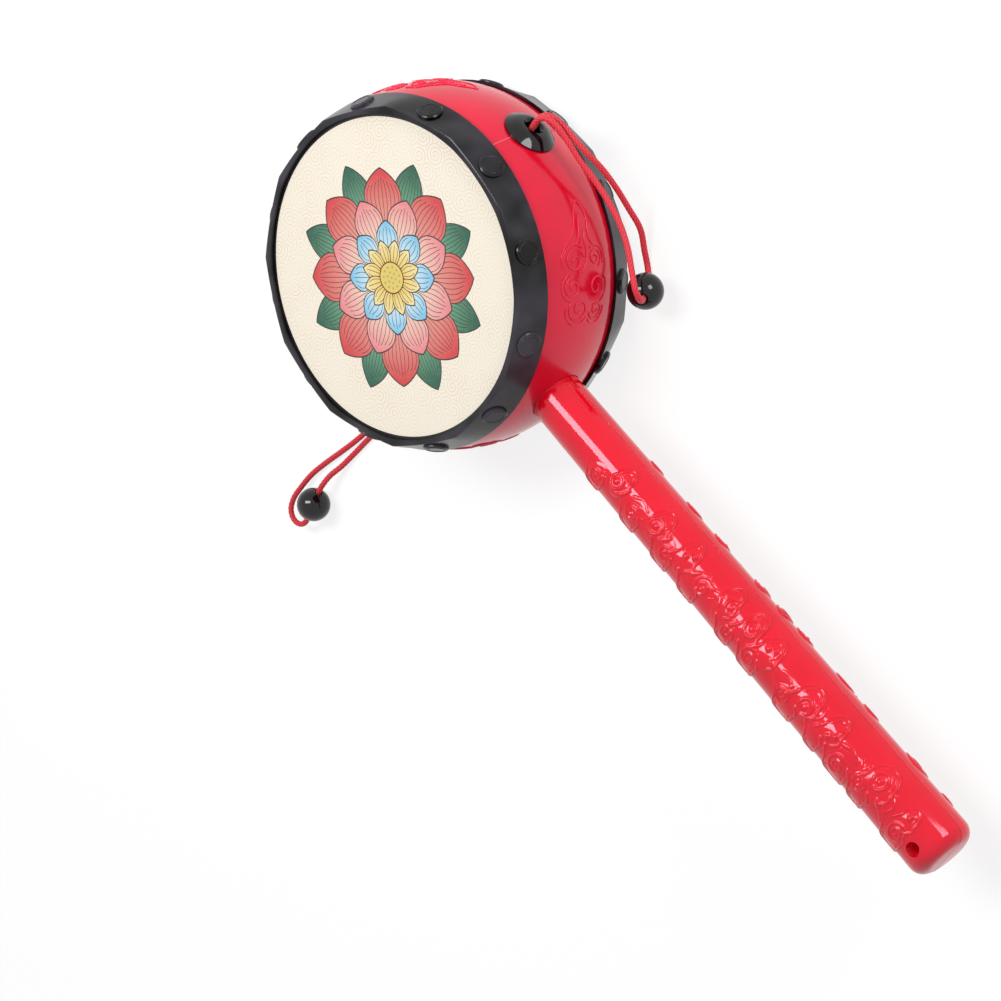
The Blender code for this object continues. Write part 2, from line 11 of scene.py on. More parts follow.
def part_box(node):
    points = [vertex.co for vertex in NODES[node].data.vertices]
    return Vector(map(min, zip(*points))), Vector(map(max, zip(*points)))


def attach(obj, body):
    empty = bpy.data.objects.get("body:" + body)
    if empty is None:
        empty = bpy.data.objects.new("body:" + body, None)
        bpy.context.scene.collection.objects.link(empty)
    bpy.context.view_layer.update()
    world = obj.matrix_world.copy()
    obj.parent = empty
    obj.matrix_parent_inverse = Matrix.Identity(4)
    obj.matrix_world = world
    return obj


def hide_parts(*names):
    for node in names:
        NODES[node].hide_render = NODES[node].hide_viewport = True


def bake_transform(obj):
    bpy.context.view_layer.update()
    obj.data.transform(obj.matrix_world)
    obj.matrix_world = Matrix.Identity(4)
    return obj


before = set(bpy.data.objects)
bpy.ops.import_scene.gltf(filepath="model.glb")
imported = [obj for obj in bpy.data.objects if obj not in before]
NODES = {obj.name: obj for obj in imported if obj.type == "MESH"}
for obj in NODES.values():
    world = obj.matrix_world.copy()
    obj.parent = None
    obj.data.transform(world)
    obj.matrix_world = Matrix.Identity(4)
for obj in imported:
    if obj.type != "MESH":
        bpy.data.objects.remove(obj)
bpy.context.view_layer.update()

MM = 0.001

# Places taken from the frame
DRUM_LOW, DRUM_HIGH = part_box("back_rim")[0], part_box("front_rim")[1]
DRUM = (DRUM_LOW + DRUM_HIGH) / 2
DRUM_HALF_DEPTH = DRUM_HIGH.z - DRUM.z
SHELL_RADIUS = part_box("shell_crown_half")[1].y - DRUM.y
GROMMET_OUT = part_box("right_grommet")[1].x
GROMMET_RADIUS = (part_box("right_grommet")[1].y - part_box("right_grommet")[0].y) / 2
HANDLE_REACH = DRUM.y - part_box("handle_front_half")[0].y
HEAD_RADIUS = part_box("front_head")[1].x

# Floor and light: greys and strengths, and the lamps, which look at the drum's middle
FLOOR_HALF = 4.0
FLOOR_DROP = 0.1 * MM  # below the drum, so that no two faces coincide
SHADOW_REACH = 1.2 * HANDLE_REACH  # from the world's middle, where the floor begins to turn plain white
PLAIN_FLOOR = 3 * HANDLE_REACH
FLOOR_BOUNCE = 0.8  # grey of the floor where it lights the object
FLOOR_SHADE = 0.22  # grey of the seen floor, which takes the shadow, under its glow
FLOOR_GLOW = 0.82
WORLD_LIGHT = 0.28  # of the world where it lights the object
SEEN_WHITE = 1.0  # of the world and the far floor where they are seen
LAMP_DISTANCE = 1.1
LEFT_LAMP = {"direction": (0.255, 0.325, 0.91), "width": 0.75, "height": 0.3, "watts": 9.5}
RIGHT_LAMP = {"direction": (0.93, -0.31, 0.19), "width": 0.42, "height": 0.4, "watts": 4.7}

# Camera, from the drum's middle, for a picture of 1001 by 1001 pixels
PICTURE = 1001
FOCAL_PIXELS = 3446.5
SENSOR_MM = 36.0
CAMERA_REACH = 20.0
CAMERA_PLACE = Vector((622.9, -433.2, 801.1)) * MM
CAMERA_FORWARD = Vector((-0.6034, 0.3343, -0.7239))
CAMERA_UP = Vector((0.6554, 0.7251, -0.2114))

# Cords: the routes are the part's own, in millimetres out from the hinge, along the drum's Y and up
# from the floor
CORD_RADIUS = 0.95 * MM
CORD_INSIDE = 1.0 * MM  # where the tube begins, under the grommet's top
CORD_STUB = 0.3 * MM
CORD_LEAD = 0.3 * MM
HINGE_GAP = 0.3 * MM
STRAND_GAP = 0.34 * MM
PAIR_OFFSET = CORD_RADIUS + STRAND_GAP / 2
STUB_END = GROMMET_OUT + CORD_STUB
HINGE_OUT = STUB_END + HINGE_GAP + CORD_RADIUS
BORE_RUN = 6.49 * MM
RIGHT = {
    "name": "right",
    "side": 1,
    "pair_tilt": 111.0,
    "bore": Vector((0.14, -0.52, 0.84)),
    "in": ((2.35, -0.95, 27.45), (3.75, -2.3, 27.1), (4.35, -4.15, 26.65), (4.25, -6.5, 26.05),
           (2.85, -11.05, 24.8), (-0.05, -17.8, 22.75), (-2.3, -24.7, 20.55), (-4.8, -32.3, 19.1),
           (-7.7, -39.8, 18.45), (-10.9, -46, 18.7), (-15.55, -53.25, 19.8), (-18.2, -57.2, 20.2),
           (-19.85, -58.8, 19.2), (-21.35, -59.4, 17.4)),
    "out": ((-24, -50.15, 2.25), (-22.6, -47.5, 1.2), (-18.75, -43.7, 2), (-13, -39.25, 4.15),
            (-8.65, -33.9, 7.8), (-3.9, -28.3, 12.35), (-0.05, -22.65, 16.8), (2.2, -17.4, 20.5),
            (3.55, -12.2, 22.5), (4.35, -6.4, 23.55), (4.4, -3.6, 24.25), (3.75, -1.6, 24.8),
            (2.3, -0.2, 25.3)),
    "leaves": Vector((0.35, -0.94, 0.0)),
}
LEFT = {
    "name": "left",
    "side": -1,
    "pair_tilt": 0.0,
    "bore": Vector((-0.985, -0.17, 0.0)),
    "in": ((2.6, 1.2, 26.35), (4.6, 1.3, 25.35), (6.2, 1.4, 23.75), (7.5, 1.5, 21.4),
           (9.4, 1.75, 16.9), (11.4, 2.15, 11.95), (14.1, 2.65, 6.15), (17.1, 3.05, 3.3),
           (21.2, 3.55, 1.5), (27.2, 4.4, 1.1), (35.7, 6.35, 1.05), (44.55, 8.95, 1.05),
           (53.2, 11.6, 1.15), (60.55, 13.25, 1.85), (66.45, 13.45, 2.9), (72.8, 12.7, 4.2),
           (75.4, 11.3, 4.7), (76.8, 8.65, 5.2), (76.4, 5.7, 5.65), (74.4, 3.5, 5.95)),
    "out": ((52.35, 5.6, 4.5), (46.7, 4.85, 2.35), (40.6, 4.1, 1.3), (32.65, 2.9, 1.05),
            (24.5, 1.5, 1.15), (19.75, 0.8, 1.95), (16.1, 0.3, 4.05), (13.6, 0, 7.2),
            (11.1, -0.4, 13.65), (9.1, -0.75, 18.4), (7.4, -0.95, 21.9), (6, -1.05, 24.1),
            (4.4, -1.1, 25.6), (2.4, -1.1, 26.4)),
    "leaves": Vector((-1.0, 0.0, 0.0)),
}
CORD_STATION = 0.25 * MM  # between the rings of the cord's mesh
CORD_SIDES = 20
CURVE_STEPS = 33  # between two points of a route, before it is evened out
# The braid is drawn coarser than real, with fewer and wider yarns, so that it shows
CORD_CARRIERS = 3  # yarns each way round
BRAID_REPEAT = 1.5 * MM  # along the cord
BRAID_RELIEF = 0.16 * MM  # half of it above the cord's radius and half below
CROWN_LOW, CROWN_HIGH = 0.3, 0.95  # heights of a yarn between which its colour goes from painted shade in the dips to painted highlight on the crowns
FUZZ_SIZE = 0.25 * MM
FUZZ_HEIGHT = 0.04 * MM

# Moulded plastic: parts of a noise's range over which its colour and its polish drift; on the rims the
# colour's lighter patches are painted sheen
FLOW_LOW, FLOW_HIGH = 0.36, 0.64
POLISH_LOW, POLISH_HIGH = 0.3, 0.7
BEST_POLISH, LEAST_POLISH = 0.8, 1.25  # times the roughness
SHARP_EDGE = 32.0  # degrees between the faces of an edge that stays sharp
CORNER_MERGE = 1e-6  # metres; closer corners are one, so that smooth shading runs across them

# Shell: the part's own barrel, and the thin raised clouds on it
SHELL_SWELL = 3.0 * MM
SHELL_SHOWN_WIDTH = 33.2 * MM
SHELL_ARC = ((SHELL_SHOWN_WIDTH / 2) ** 2 + SHELL_SWELL ** 2) / (2 * SHELL_SWELL)
CLOUD_ANGLE = 46.5  # degrees round the drum from a grommet to a cloud's middle
CLOUD_LINE_WIDTH = 0.6 * MM
CLOUD_LINE_HEIGHT = 0.3 * MM
CLOUD_STATION = 0.35 * MM
LINE_SIDES = 8  # of a raised line's section
SEAM_WIDTH = 0.6 * MM
SEAM_HEIGHT = 0.14 * MM
SEAM_TUCK = 0.3 * MM  # of its end, under the grommet
SEAM_STEPS = 12
HANDLE_SEAM_WIDTH = 1.1 * MM
HANDLE_SEAM_HEIGHT = 0.04 * MM
HANDLE_SEAM_STATIONS = 40  # down a side
HANDLE_SEAM_BENDS = 9  # round a corner of its end
# A cloud, in millimetres away from the grommet and across the drum: its middle, its curls with their radii,
# and the lines of its tail
CLOUD_MIDDLE = (3.0, 0.4)
CLOUD_CURLS = ((-3.6, 4.6, 4.2), (4.4, 6.2, 3.6), (11.6, 3.6, 4.4), (13.0, -4.6, 3.4), (5.6, -4.6, 4.6),
               (-3.4, -4.8, 3.2))
CLOUD_TAIL = (
    ((-22.1, -1.9), (-18.5, 0.7), (-14.9, 2.2), (-11.8, 4.4), (-9.2, 7.4), (-5.8, 9.6), (-2.2, 9.8)),
    ((-22.1, -1.9), (-20.1, -3.5), (-16.5, -4.3), (-12.6, -3.4), (-9.2, -3.4), (-7.0, -5.4)),
    ((-18.0, -1.1), (-14.6, 0.2), (-11.4, 1.2), (-8.4, 3.2)),
    ((-12.6, -1.6), (-9.2, -0.8), (-5.6, -0.9), (-2.4, 0.0), (0.2, 2.2)),
)
CURL_EYE = 0.2  # of a curl's radius
CURL_FROM, CURL_TO = -420.0, 110.0  # degrees from the way out of the cloud, from a curl's eye to its tip
CURL_ECHO = 1.2  # millimetres from a curl out to the end of the arc that follows it
ECHO_START = 0.5  # of those millimetres
ECHO_FROM, ECHO_TO = -70.0, 80.0
CURL_STEP = 20  # degrees between a curl's points
CURL_LEAST_STEPS = 8

# Handle: its radius along it, and the raised scrolls on its front and back
HANDLE_NECK_RADIUS = 8.7 * MM
HANDLE_END_RADIUS = 10.75 * MM
HANDLE_END_ROUND = 4.5 * MM
HOLE_INSET = 6.8 * MM  # lanyard hole, from the handle's end
HOLE_RADIUS = 2.4 * MM
HOLE_WALL = 0.7 * MM
SLEEVE_FOOT = 0.4 * MM  # from the handle's middle to the sleeve in each half
SLEEVE_SINK = 0.5 * MM  # of its other end, under the handle's surface
RELIEF_START = 83.0  # millimetres along the handle from the drum's axis
RELIEF_END = 239.5
RELIEF_HALF_WIDTH = 12.6  # millimetres round it from the middle of its front
RELIEF_STEP = 0.27
RELIEF_ROUND = 9.5  # millimetres round for one radian
RELIEF_SINK = 0.12  # millimetres under the surface where it is plain
RELIEF_DEPTH = 0.8  # millimetres under the surface to its smooth underside
RELIEF_BLOCK = 24  # rows of its top to one row of its underside
RIGHT_ROOT = 5.0  # millimetres round to where the lobes' arches spring
LEFT_ROOT = -3.2
# Lobes: where each begins and ends along the handle, and how far round it reaches, in millimetres
RIGHT_LOBES = ((94.5, 100.7, 9.8), (112.3, 119.7, 10.4), (126.0, 133.2, 10.8), (145.6, 152.4, 11.6),
               (156.2, 163.6, 11.9), (165.4, 173.2, 10.6), (183.8, 192.6, 9.8), (196.8, 203.8, 10.0),
               (216.4, 226.6, 10.8), (232.4, 238.0, 8.4))
LEFT_LOBES = ((85.6, 92.6, -8.4), (102.8, 110.2, -9.2), (118.4, 126.4, -9.8), (131.8, 139.6, -9.6),
              (150.4, 157.0, -8.6), (161.2, 169.2, -9.8), (178.8, 187.6, -9.8), (193.6, 199.6, -8.4),
              (203.0, 212.6, -10.2), (214.4, 221.8, -9.6), (230.2, 238.6, -9.8))
# Rings, pearls and scrolls: their middles along and round the handle. Scrolls have their radius too
RINGS = ((96.0, 3.5), (115.4, 3.8), (151.0, 5.4), (160.0, 5.8), (188.8, 3.0), (221.0, 5.6))
PEARLS = ((129.0, 4.8), (131.2, 6.6), (200.0, 2.4), (201.9, 4.1), (168.0, 5.8), (170.4, 7.0), (235.0, 5.4))
SCROLLS = ((89.6, -1.0, 3.4), (106.4, 0.6, 3.2), (123.4, 0.4, 3.2), (139.6, 2.4, 3.4), (154.6, -1.0, 2.8),
           (165.2, -0.8, 3.2), (180.6, -0.2, 3.0), (207.6, -1.4, 3.4), (216.4, 0.8, 2.8), (235.0, -0.6, 3.2))
# Crescents: broad smooth ridges between the clusters
CRESCENTS = (((97.0, -0.6), (100.0, 1.4), (101.4, 4.4)), ((103.4, 4.4), (106.8, 6.0), (110.2, 4.6)),
             ((119.8, 2.6), (121.2, 4.6), (120.2, 6.8)), ((134.4, 3.0), (136.4, 5.2), (139.0, 6.6)),
             ((142.6, 4.8), (145.0, 5.4), (147.2, 3.2)), ((171.6, 3.8), (174.2, 3.0), (176.4, 0.8)),
             ((176.2, 4.8), (178.8, 5.2), (181.4, 3.8)), ((192.8, 2.2), (194.6, 4.8), (193.8, 7.4)),
             ((205.2, 4.6), (208.8, 5.4), (211.8, 3.8)), ((212.6, 5.6), (214.6, 4.2), (215.4, 6.4)),
             ((227.4, 6.0), (229.4, 3.6), (228.2, 0.6)), ((224.4, 1.4), (227.0, -0.4), (229.2, -2.6)))
# A lobe's stems: along from where its arch springs, and back from the root line
STEMS_BEFORE = ((-2.0, 3.6), (-0.8, 1.8))
STEMS_AFTER = ((0.5, 1.8), (-1.2, 3.8))
INNER_ARCH_INSET = (1.2, 1.3)  # from the lobe's outer arch, at its sides and its top
INNER_ARCH = (165.0, 10.0)  # degrees, from its start to its end
LOBE_MARGIN = (0.8, 1.4)  # of the swelling under a lobe, along and round
LOBE_SWELL = 0.6
RING_RADIUS = 2.4
RING_EYE = 1.1
RING_EYE_HEIGHT = 0.65
PEARL_RADIUS = 1.0
PEARL_HEIGHT = 0.75
SCROLL_MARGIN = 0.8  # of the swelling under a scroll
SCROLL_SWELL = 0.5
SCROLL_EYE = 0.5
SCROLL_FROM = 60.0  # degrees at a scroll's outer end
SCROLL_TURN = 640.0  # degrees from there to its eye
# Widths and heights of the ridges
LOBE_RIDGE = (0.8, 0.5)
INNER_RIDGE = (0.6, 0.35)
RING_RIDGE = (0.9, 0.6)
SCROLL_RIDGE = (0.65, 0.45)
CRESCENT_RIDGE = (1.5, 0.5)
ARCH_STEPS = 25
BENT_STEP = 0.5  # millimetres between the points of a bent line

# Rims: where their studs sit
RIM_EDGE_RADIUS = 57.2 * MM  # where the rim meets the shell
RIM_LIP_RADIUS = 53.52 * MM  # the same wall at the lip, in the middle of a side
RIM_WALL_DEPTH = 9.4 * MM
RIM_LIP_ROUND = 0.6 * MM
RIM_SIDES = 12
STUD_INSET = 5.1 * MM
STUD_HEIGHT = 0.9 * MM
STUD_RING_RADIUS = 3.0 * MM
STUD_RING_WIDTH = 0.5 * MM
STUD_RING_HEIGHT = 0.16 * MM
ROUND_STEPS = 32  # of a stud's ring and of the lanyard hole's sleeve
FRONT_STUD_ANGLE = -7.0
BACK_STUD_ANGLE = 6.2

# Heads: the film and its printed rosette, in millimetres
HEAD_STEPS = 144
HEAD_MERGE = 0.004  # corners of the print closer than this are one
INSIDE_ONLY = 1  # delaunay_2d_cdt's output type: triangles inside the outlines
LIP_SHADOW_RADIUS = 50.9  # from here out the film is black, as painted shadow where the rim's lip shades it, down to its edge under the lip
CURL_CELL = 6.0  # for each of the faint curls all over it
CURL_SCATTER = 0.75
CURL_PITCH = 1.25  # between a curl's turns
CURL_LINE, CURL_LINE_EDGE = 0.06, 0.16  # of a pitch, from a line's middle to where it fades and ends
PATCH_SIZE = 14.0  # of the patches where the curls are fainter
PATCH_LOW, PATCH_HIGH = 0.35, 0.65  # of the patches' noise
FAINTEST = 0.35
FILM_GRAIN = 0.9
FILM_GRAIN_HEIGHT = 0.02
STIPPLE_SIZE = 0.8
STIPPLE_REACH = 5.0  # by which the ink's shade is scattered
# Inks: the colours at two distances from the middle, and those distances
INKS = {
    "dark": ("#4a2f2c", "#33282a", 4.0, 30.0),
    "green": ("#7db892", "#2c5f4c", 19.0, 36.0),
    "coral": ("#e9a093", "#d2494b", 17.0, 33.0),
    "rose": ("#f6dfc8", "#e88a90", 11.0, 25.0),
    "sky": ("#dcf1f8", "#7fc3e4", 8.0, 17.5),
    "straw": ("#e9c765", "#f3e3a8", 4.0, 12.0),
    # border: painted shadow, a near-black ring round the film's edge where the rim's lip shades it
    "border": ("#141216", "#0a090c", 50.0, 53.0),
}
# Rings of petals, lowest first: how many, the first one's angle, root, tip, width, fullness, ink,
# and how many veins each petal has
PETAL_RINGS = (
    (8, 22.5, 17.0, 38.0, 12.0, 1.05, "green", 9),
    (8, 0.0, 13.5, 34.5, 15.5, 1.25, "coral", 9),
    (8, 22.5, 9.0, 26.0, 12.0, 1.25, "rose", 7),
    (8, 0.0, 6.0, 18.0, 8.6, 1.2, "sky", 5),
    (12, 0.0, 3.0, 12.0, 4.7, 1.15, "straw", 3),
)
PETAL_STEPS = 22
PETAL_BLUNTNESS = 0.8  # 1 for a sine's half wave, less for a fuller outline
OUTLINE = 0.32
OUTLINE_AT_TIP = 1.6  # times as wide there
VEIN_WIDTH = 0.2
VEIN_STEPS = 9
VEIN_START, VEIN_END = 0.12, 0.86  # of the petal's length
VEIN_SHORTENING = 0.25  # of the outer veins
VEIN_FULLNESS = 1.2
SEED_HEAD = 4.8
SEED_HEAD_OUTLINE = 5.2
SEED_HEAD_STEPS = 36
SEED_RINGS = ((0.0, 1), (1.7, 6), (3.4, 11))  # radius, and how many seeds
SEED_RADIUS = 0.42
SEED_STEPS = 10


def linear(colour):
    """An sRGB hex colour as linear RGBA."""
    channels = [int(colour[i:i + 2], 16) / 255 for i in (1, 3, 5)]
    curve = [c / 12.92 if c <= 0.04045 else ((c + 0.055) / 1.055) ** 2.4 for c in channels]
    return (*curve, 1.0)


def add_node(tree, kind, inputs=None, **settings):
    """Adds a node with its settings. An input is a value, or another node's output to link from."""
    made = tree.nodes.new(kind)
    for name, value in settings.items():
        setattr(made, name, value)
    for name, value in (inputs or {}).items():
        if isinstance(value, bpy.types.NodeSocket):
            tree.links.new(value, made.inputs[name])
        else:
            made.inputs[name].default_value = value
    return made


def grey(level):
    return (level, level, level, 1.0)


def new_material(name):
    """A material with an empty node tree."""
    finish = bpy.data.materials.new(name)
    finish.use_nodes = True
    finish.node_tree.nodes.clear()
    return finish, finish.node_tree


def finish_with(finish, shader):
    add_node(finish.node_tree, "ShaderNodeOutputMaterial", {"Surface": shader.outputs[0]})
    return finish


def with_surface(finish, inputs):
    """The material, with a principled shader of these inputs."""
    return finish_with(finish, add_node(finish.node_tree, "ShaderNodeBsdfPrincipled", inputs))


def object_place(tree):
    return add_node(tree, "ShaderNodeTexCoord").outputs["Object"]


def computed(tree, operation, *values):
    return add_node(tree, "ShaderNodeMath", dict(enumerate(values)), operation=operation).outputs[0]


def vector_computed(tree, operation, *values):
    made = add_node(tree, "ShaderNodeVectorMath", dict(enumerate(values)), operation=operation)
    return made.outputs["Value" if operation == "LENGTH" else "Vector"]


def ranged(tree, value, low, high, to_low=0.0, to_high=1.0):
    """A value's place between two others, as a share or between two ends."""
    made = add_node(tree, "ShaderNodeMapRange", {
        "Value": value, "From Min": low, "From Max": high, "To Min": to_low, "To Max": to_high})
    return made.outputs[0]


def noise(tree, place, size, detail):
    made = add_node(tree, "ShaderNodeTexNoise", {"Vector": place, "Scale": 1 / size, "Detail": detail})
    return made.outputs["Fac"]


def bump(tree, level, height, strength=1.0, **under):
    """A normal tilted by a level's slopes, over another normal where one is given."""
    made = add_node(tree, "ShaderNodeBump", {
        "Height": level, "Distance": height, "Strength": strength, **under})
    return made.outputs["Normal"]


def placed(name, data):
    """A new object in the scene."""
    made = bpy.data.objects.new(name, data)
    bpy.context.scene.collection.objects.link(made)
    return made


def add_camera():
    lens = bpy.data.cameras.new("photo_camera")
    lens.sensor_width = SENSOR_MM
    lens.lens = FOCAL_PIXELS / PICTURE * SENSOR_MM
    lens.clip_end = CAMERA_REACH
    camera = placed("photo_camera", lens)
    forward = CAMERA_FORWARD.normalized()
    right = forward.cross(CAMERA_UP).normalized()
    up = right.cross(forward)
    turn = Matrix((right, up, -forward)).transposed().to_4x4()
    camera.matrix_world = Matrix.Translation(DRUM + CAMERA_PLACE) @ turn
    bpy.context.scene.camera = camera


def add_piece(name, verts, faces, finishes, body, slot=None):
    """A mesh piece that rides on a body, with one material or several."""
    mesh = bpy.data.meshes.new(name)
    mesh.from_pydata([tuple(v) for v in verts], [], faces)
    for finish in finishes if isinstance(finishes, list) else [finishes]:
        mesh.materials.append(finish)
    mesh.polygons.foreach_set("use_smooth", [True] * len(mesh.polygons))
    piece = placed(name, mesh)
    if body:
        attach(piece, body)
    return piece


# Floor, lamps and world

def seen_rays(tree):
    """1 where the floor or the world is looked at, straight or in a gloss, and 0 where it gives light."""
    path = add_node(tree, "ShaderNodeLightPath").outputs
    seen = computed(tree, "MAXIMUM", path["Is Camera Ray"], path["Is Glossy Ray"])
    return computed(tree, "MAXIMUM", seen, path["Is Transmission Ray"])


def white_floor():
    """A white sweep: it shows white, keeps the object's shadow, and is plain white farther off."""
    finish, tree = new_material("white_sweep")
    paint = add_node(tree, "ShaderNodeBsdfDiffuse", {"Color": grey(FLOOR_BOUNCE)})
    pale = add_node(tree, "ShaderNodeBsdfDiffuse", {"Color": grey(FLOOR_SHADE)})
    glow = add_node(tree, "ShaderNodeEmission", {"Color": grey(1.0), "Strength": FLOOR_GLOW})
    shown = add_node(tree, "ShaderNodeAddShader", {0: pale.outputs[0], 1: glow.outputs[0]})
    place = add_node(tree, "ShaderNodeNewGeometry").outputs["Position"]
    far = ranged(tree, vector_computed(tree, "LENGTH", place), SHADOW_REACH, PLAIN_FLOOR)
    white = add_node(tree, "ShaderNodeEmission", {"Color": grey(1.0), "Strength": SEEN_WHITE})
    sweep = add_node(tree, "ShaderNodeMixShader", {0: far, 1: shown.outputs[0], 2: white.outputs[0]})
    seen = seen_rays(tree)
    both = add_node(tree, "ShaderNodeMixShader", {0: seen, 1: paint.outputs[0], 2: sweep.outputs[0]})
    return finish_with(finish, both)


def add_floor():
    corners = [(x * FLOOR_HALF, y * FLOOR_HALF, 0.0) for x, y in ((-1, -1), (1, -1), (1, 1), (-1, 1))]
    floor = add_piece("floor", corners, [(0, 1, 2, 3)], white_floor(), None)
    floor.location.z = -FLOOR_DROP


def add_softbox(name, direction, width, height, watts):
    """A soft rectangular lamp, aimed at the drum from a direction."""
    lamp = bpy.data.lights.new(name, "AREA")
    lamp.shape = "RECTANGLE"
    lamp.size, lamp.size_y = width, height
    lamp.energy = watts
    box = placed(name, lamp)
    away = Vector(direction).normalized()
    box.location = DRUM + away * LAMP_DISTANCE
    box.rotation_mode = "QUATERNION"
    box.rotation_quaternion = away.to_track_quat("Z", "Y")


def add_light():
    world = bpy.data.worlds.new("white_studio")
    bpy.context.scene.world = world
    world.use_nodes = True
    tree = world.node_tree
    tree.nodes.clear()
    level = ranged(tree, seen_rays(tree), 0.0, 1.0, WORLD_LIGHT, SEEN_WHITE)
    sky = add_node(tree, "ShaderNodeBackground", {"Color": grey(1.0), "Strength": level})
    add_node(tree, "ShaderNodeOutputWorld", {"Surface": sky.outputs[0]})
    add_softbox("left_softbox", **LEFT_LAMP)
    add_softbox("right_softbox", **RIGHT_LAMP)


# Materials

def colour_between(tree, share, first, last):
    """A colour that goes from one to another with a share from 0 to 1. The node's sockets 6 and 7 are
    its colours."""
    mix = add_node(tree, "ShaderNodeMix", {0: share, 6: linear(first), 7: linear(last)}, data_type="RGBA")
    return mix.outputs[2]


def moulded_plastic(name, colours, gloss_tint, roughness, ior, wave, grain, specular=0.5):
    """Injection-moulded ABS: a colour that drifts a little, gloss that drifts as the mould's polish does,
    a slow waviness from shrinkage and a fine grain, both as bump. Wave and grain are a size and a height,
    in millimetres. On the rims the two colours lie far apart, and the lighter patches are painted sheen."""
    finish, tree = new_material(name)
    place = object_place(tree)
    drift_and_sheen = noise(tree, place, wave[0] * MM, detail=2.0)
    pores = noise(tree, place, grain[0] * MM, detail=3.0)
    tint = colour_between(tree, ranged(tree, drift_and_sheen, FLOW_LOW, FLOW_HIGH), *colours)
    polish = ranged(tree, drift_and_sheen, POLISH_LOW, POLISH_HIGH, roughness * BEST_POLISH, roughness * LEAST_POLISH)
    wavy = bump(tree, drift_and_sheen, wave[1] * MM)
    skin = bump(tree, pores, grain[1] * MM, Normal=wavy)
    return with_surface(finish, {
        "Base Color": tint, "Roughness": polish, "IOR": ior, "Specular Tint": linear(gloss_tint),
        "Specular IOR Level": specular, "Normal": skin})


def shell_plastic():
    return moulded_plastic("moulded_red_abs", ("#e20c30", "#d80a2a"), "#ffdcf8", roughness=0.15, ior=1.42,
                           wave=(22.0, 0.05), grain=(0.7, 0.003), specular=0.68)


def cloud_plastic():
    # lighter than the shell's red: painted highlight along the thin raised lines, so that they show
    return moulded_plastic("raised_red_abs_painted_highlight", ("#e82c4a", "#df2442"), "#ffdcf8", roughness=0.2, ior=1.42,
                           wave=(9.0, 0.02), grain=(0.5, 0.004))


def handle_plastic():
    return moulded_plastic("moulded_bright_red_abs", ("#e40b26", "#de0a22"), "#ffd8ea", roughness=0.07,
                           ior=1.5, wave=(18.0, 0.03), grain=(0.7, 0.002))


def rim_plastic():
    # painted sheen: the lighter colour, in slow random patches, stands in for the streaky reflections of a
    # satin rim
    return moulded_plastic("satin_black_abs", ("#030204", "#3b3840"), "#ffffff", roughness=0.22, ior=1.42,
                           wave=(20.0, 0.2), grain=(0.45, 0.006), specular=0.36)


def polished_plastic():
    return moulded_plastic("polished_black_abs", ("#0a090c", "#070608"), "#ffffff", roughness=0.07, ior=1.46,
                           wave=(12.0, 0.02), grain=(0.5, 0.001))


def seam_highlight_plastic():
    # pale red: painted highlight along the seam's rounded ridge
    return moulded_plastic("flash_red_abs_painted_highlight", ("#e2525f", "#d94653"), "#ffffff", roughness=0.3, ior=1.46,
                           wave=(6.0, 0.01), grain=(0.3, 0.004))


def braided_polyester():
    """Braided polyester cord: painted highlight on the crowns where a yarn passes over, painted shade where
    it dives, and a soft sheen."""
    finish, tree = new_material("braided_red_polyester")
    crown = add_node(tree, "ShaderNodeAttribute", attribute_name="crown").outputs["Fac"]
    # colour by the yarn's height: painted shade deep in the dips, painted highlight bright on the crowns
    tint = colour_between(tree, ranged(tree, crown, CROWN_LOW, CROWN_HIGH), "#ad0a1c", "#fb3d4f")
    fuzz = noise(tree, object_place(tree), FUZZ_SIZE, detail=3.0)
    return with_surface(finish, {
        "Base Color": tint, "Roughness": 0.62, "IOR": 1.5, "Sheen Weight": 0.25,
        "Sheen Roughness": 0.4, "Normal": bump(tree, fuzz, FUZZ_HEIGHT, strength=0.6)})


def curl_lines(tree, place):
    """0 on thin spiral lines, one spiral to a cell, and 1 between them. The phase counts turns, so a line
    lies where it is whole, and its way to the nearest line is half a turn at most."""
    cells = add_node(tree, "ShaderNodeTexVoronoi", {
        "Vector": place, "Scale": 1 / (CURL_CELL * MM), "Randomness": CURL_SCATTER}, voronoi_dimensions="2D")
    arm = vector_computed(tree, "SUBTRACT", place, cells.outputs["Position"])
    part = add_node(tree, "ShaderNodeSeparateXYZ", {0: arm}).outputs
    angle = computed(tree, "ARCTAN2", part["Y"], part["X"])
    turn = computed(tree, "MULTIPLY", angle, 1 / (2 * math.pi))
    flat = add_node(tree, "ShaderNodeCombineXYZ", {"X": part["X"], "Y": part["Y"]})
    out = vector_computed(tree, "LENGTH", flat.outputs[0])
    phase = computed(tree, "MULTIPLY_ADD", out, 1 / (CURL_PITCH * MM), turn)
    return ranged(tree, computed(tree, "PINGPONG", phase, 0.5), CURL_LINE, CURL_LINE_EDGE)


def cream_film():
    """Cream polyester film, printed all over with faint tan cloud curls, and slightly satin."""
    finish, tree = new_material("printed_cream_film")
    place = object_place(tree)
    ink = computed(tree, "SUBTRACT", 1.0, curl_lines(tree, place))
    faint = ranged(tree, noise(tree, place, PATCH_SIZE * MM, detail=2.0), PATCH_LOW, PATCH_HIGH, FAINTEST)
    tint = colour_between(tree, computed(tree, "MULTIPLY", ink, faint), "#f6eddd", "#e3d4ba")
    grain = noise(tree, place, FILM_GRAIN * MM, detail=4.0)
    return with_surface(finish, {
        "Base Color": tint, "Roughness": 0.45, "IOR": 1.45,
        "Normal": bump(tree, grain, FILM_GRAIN_HEIGHT * MM, strength=0.5)})


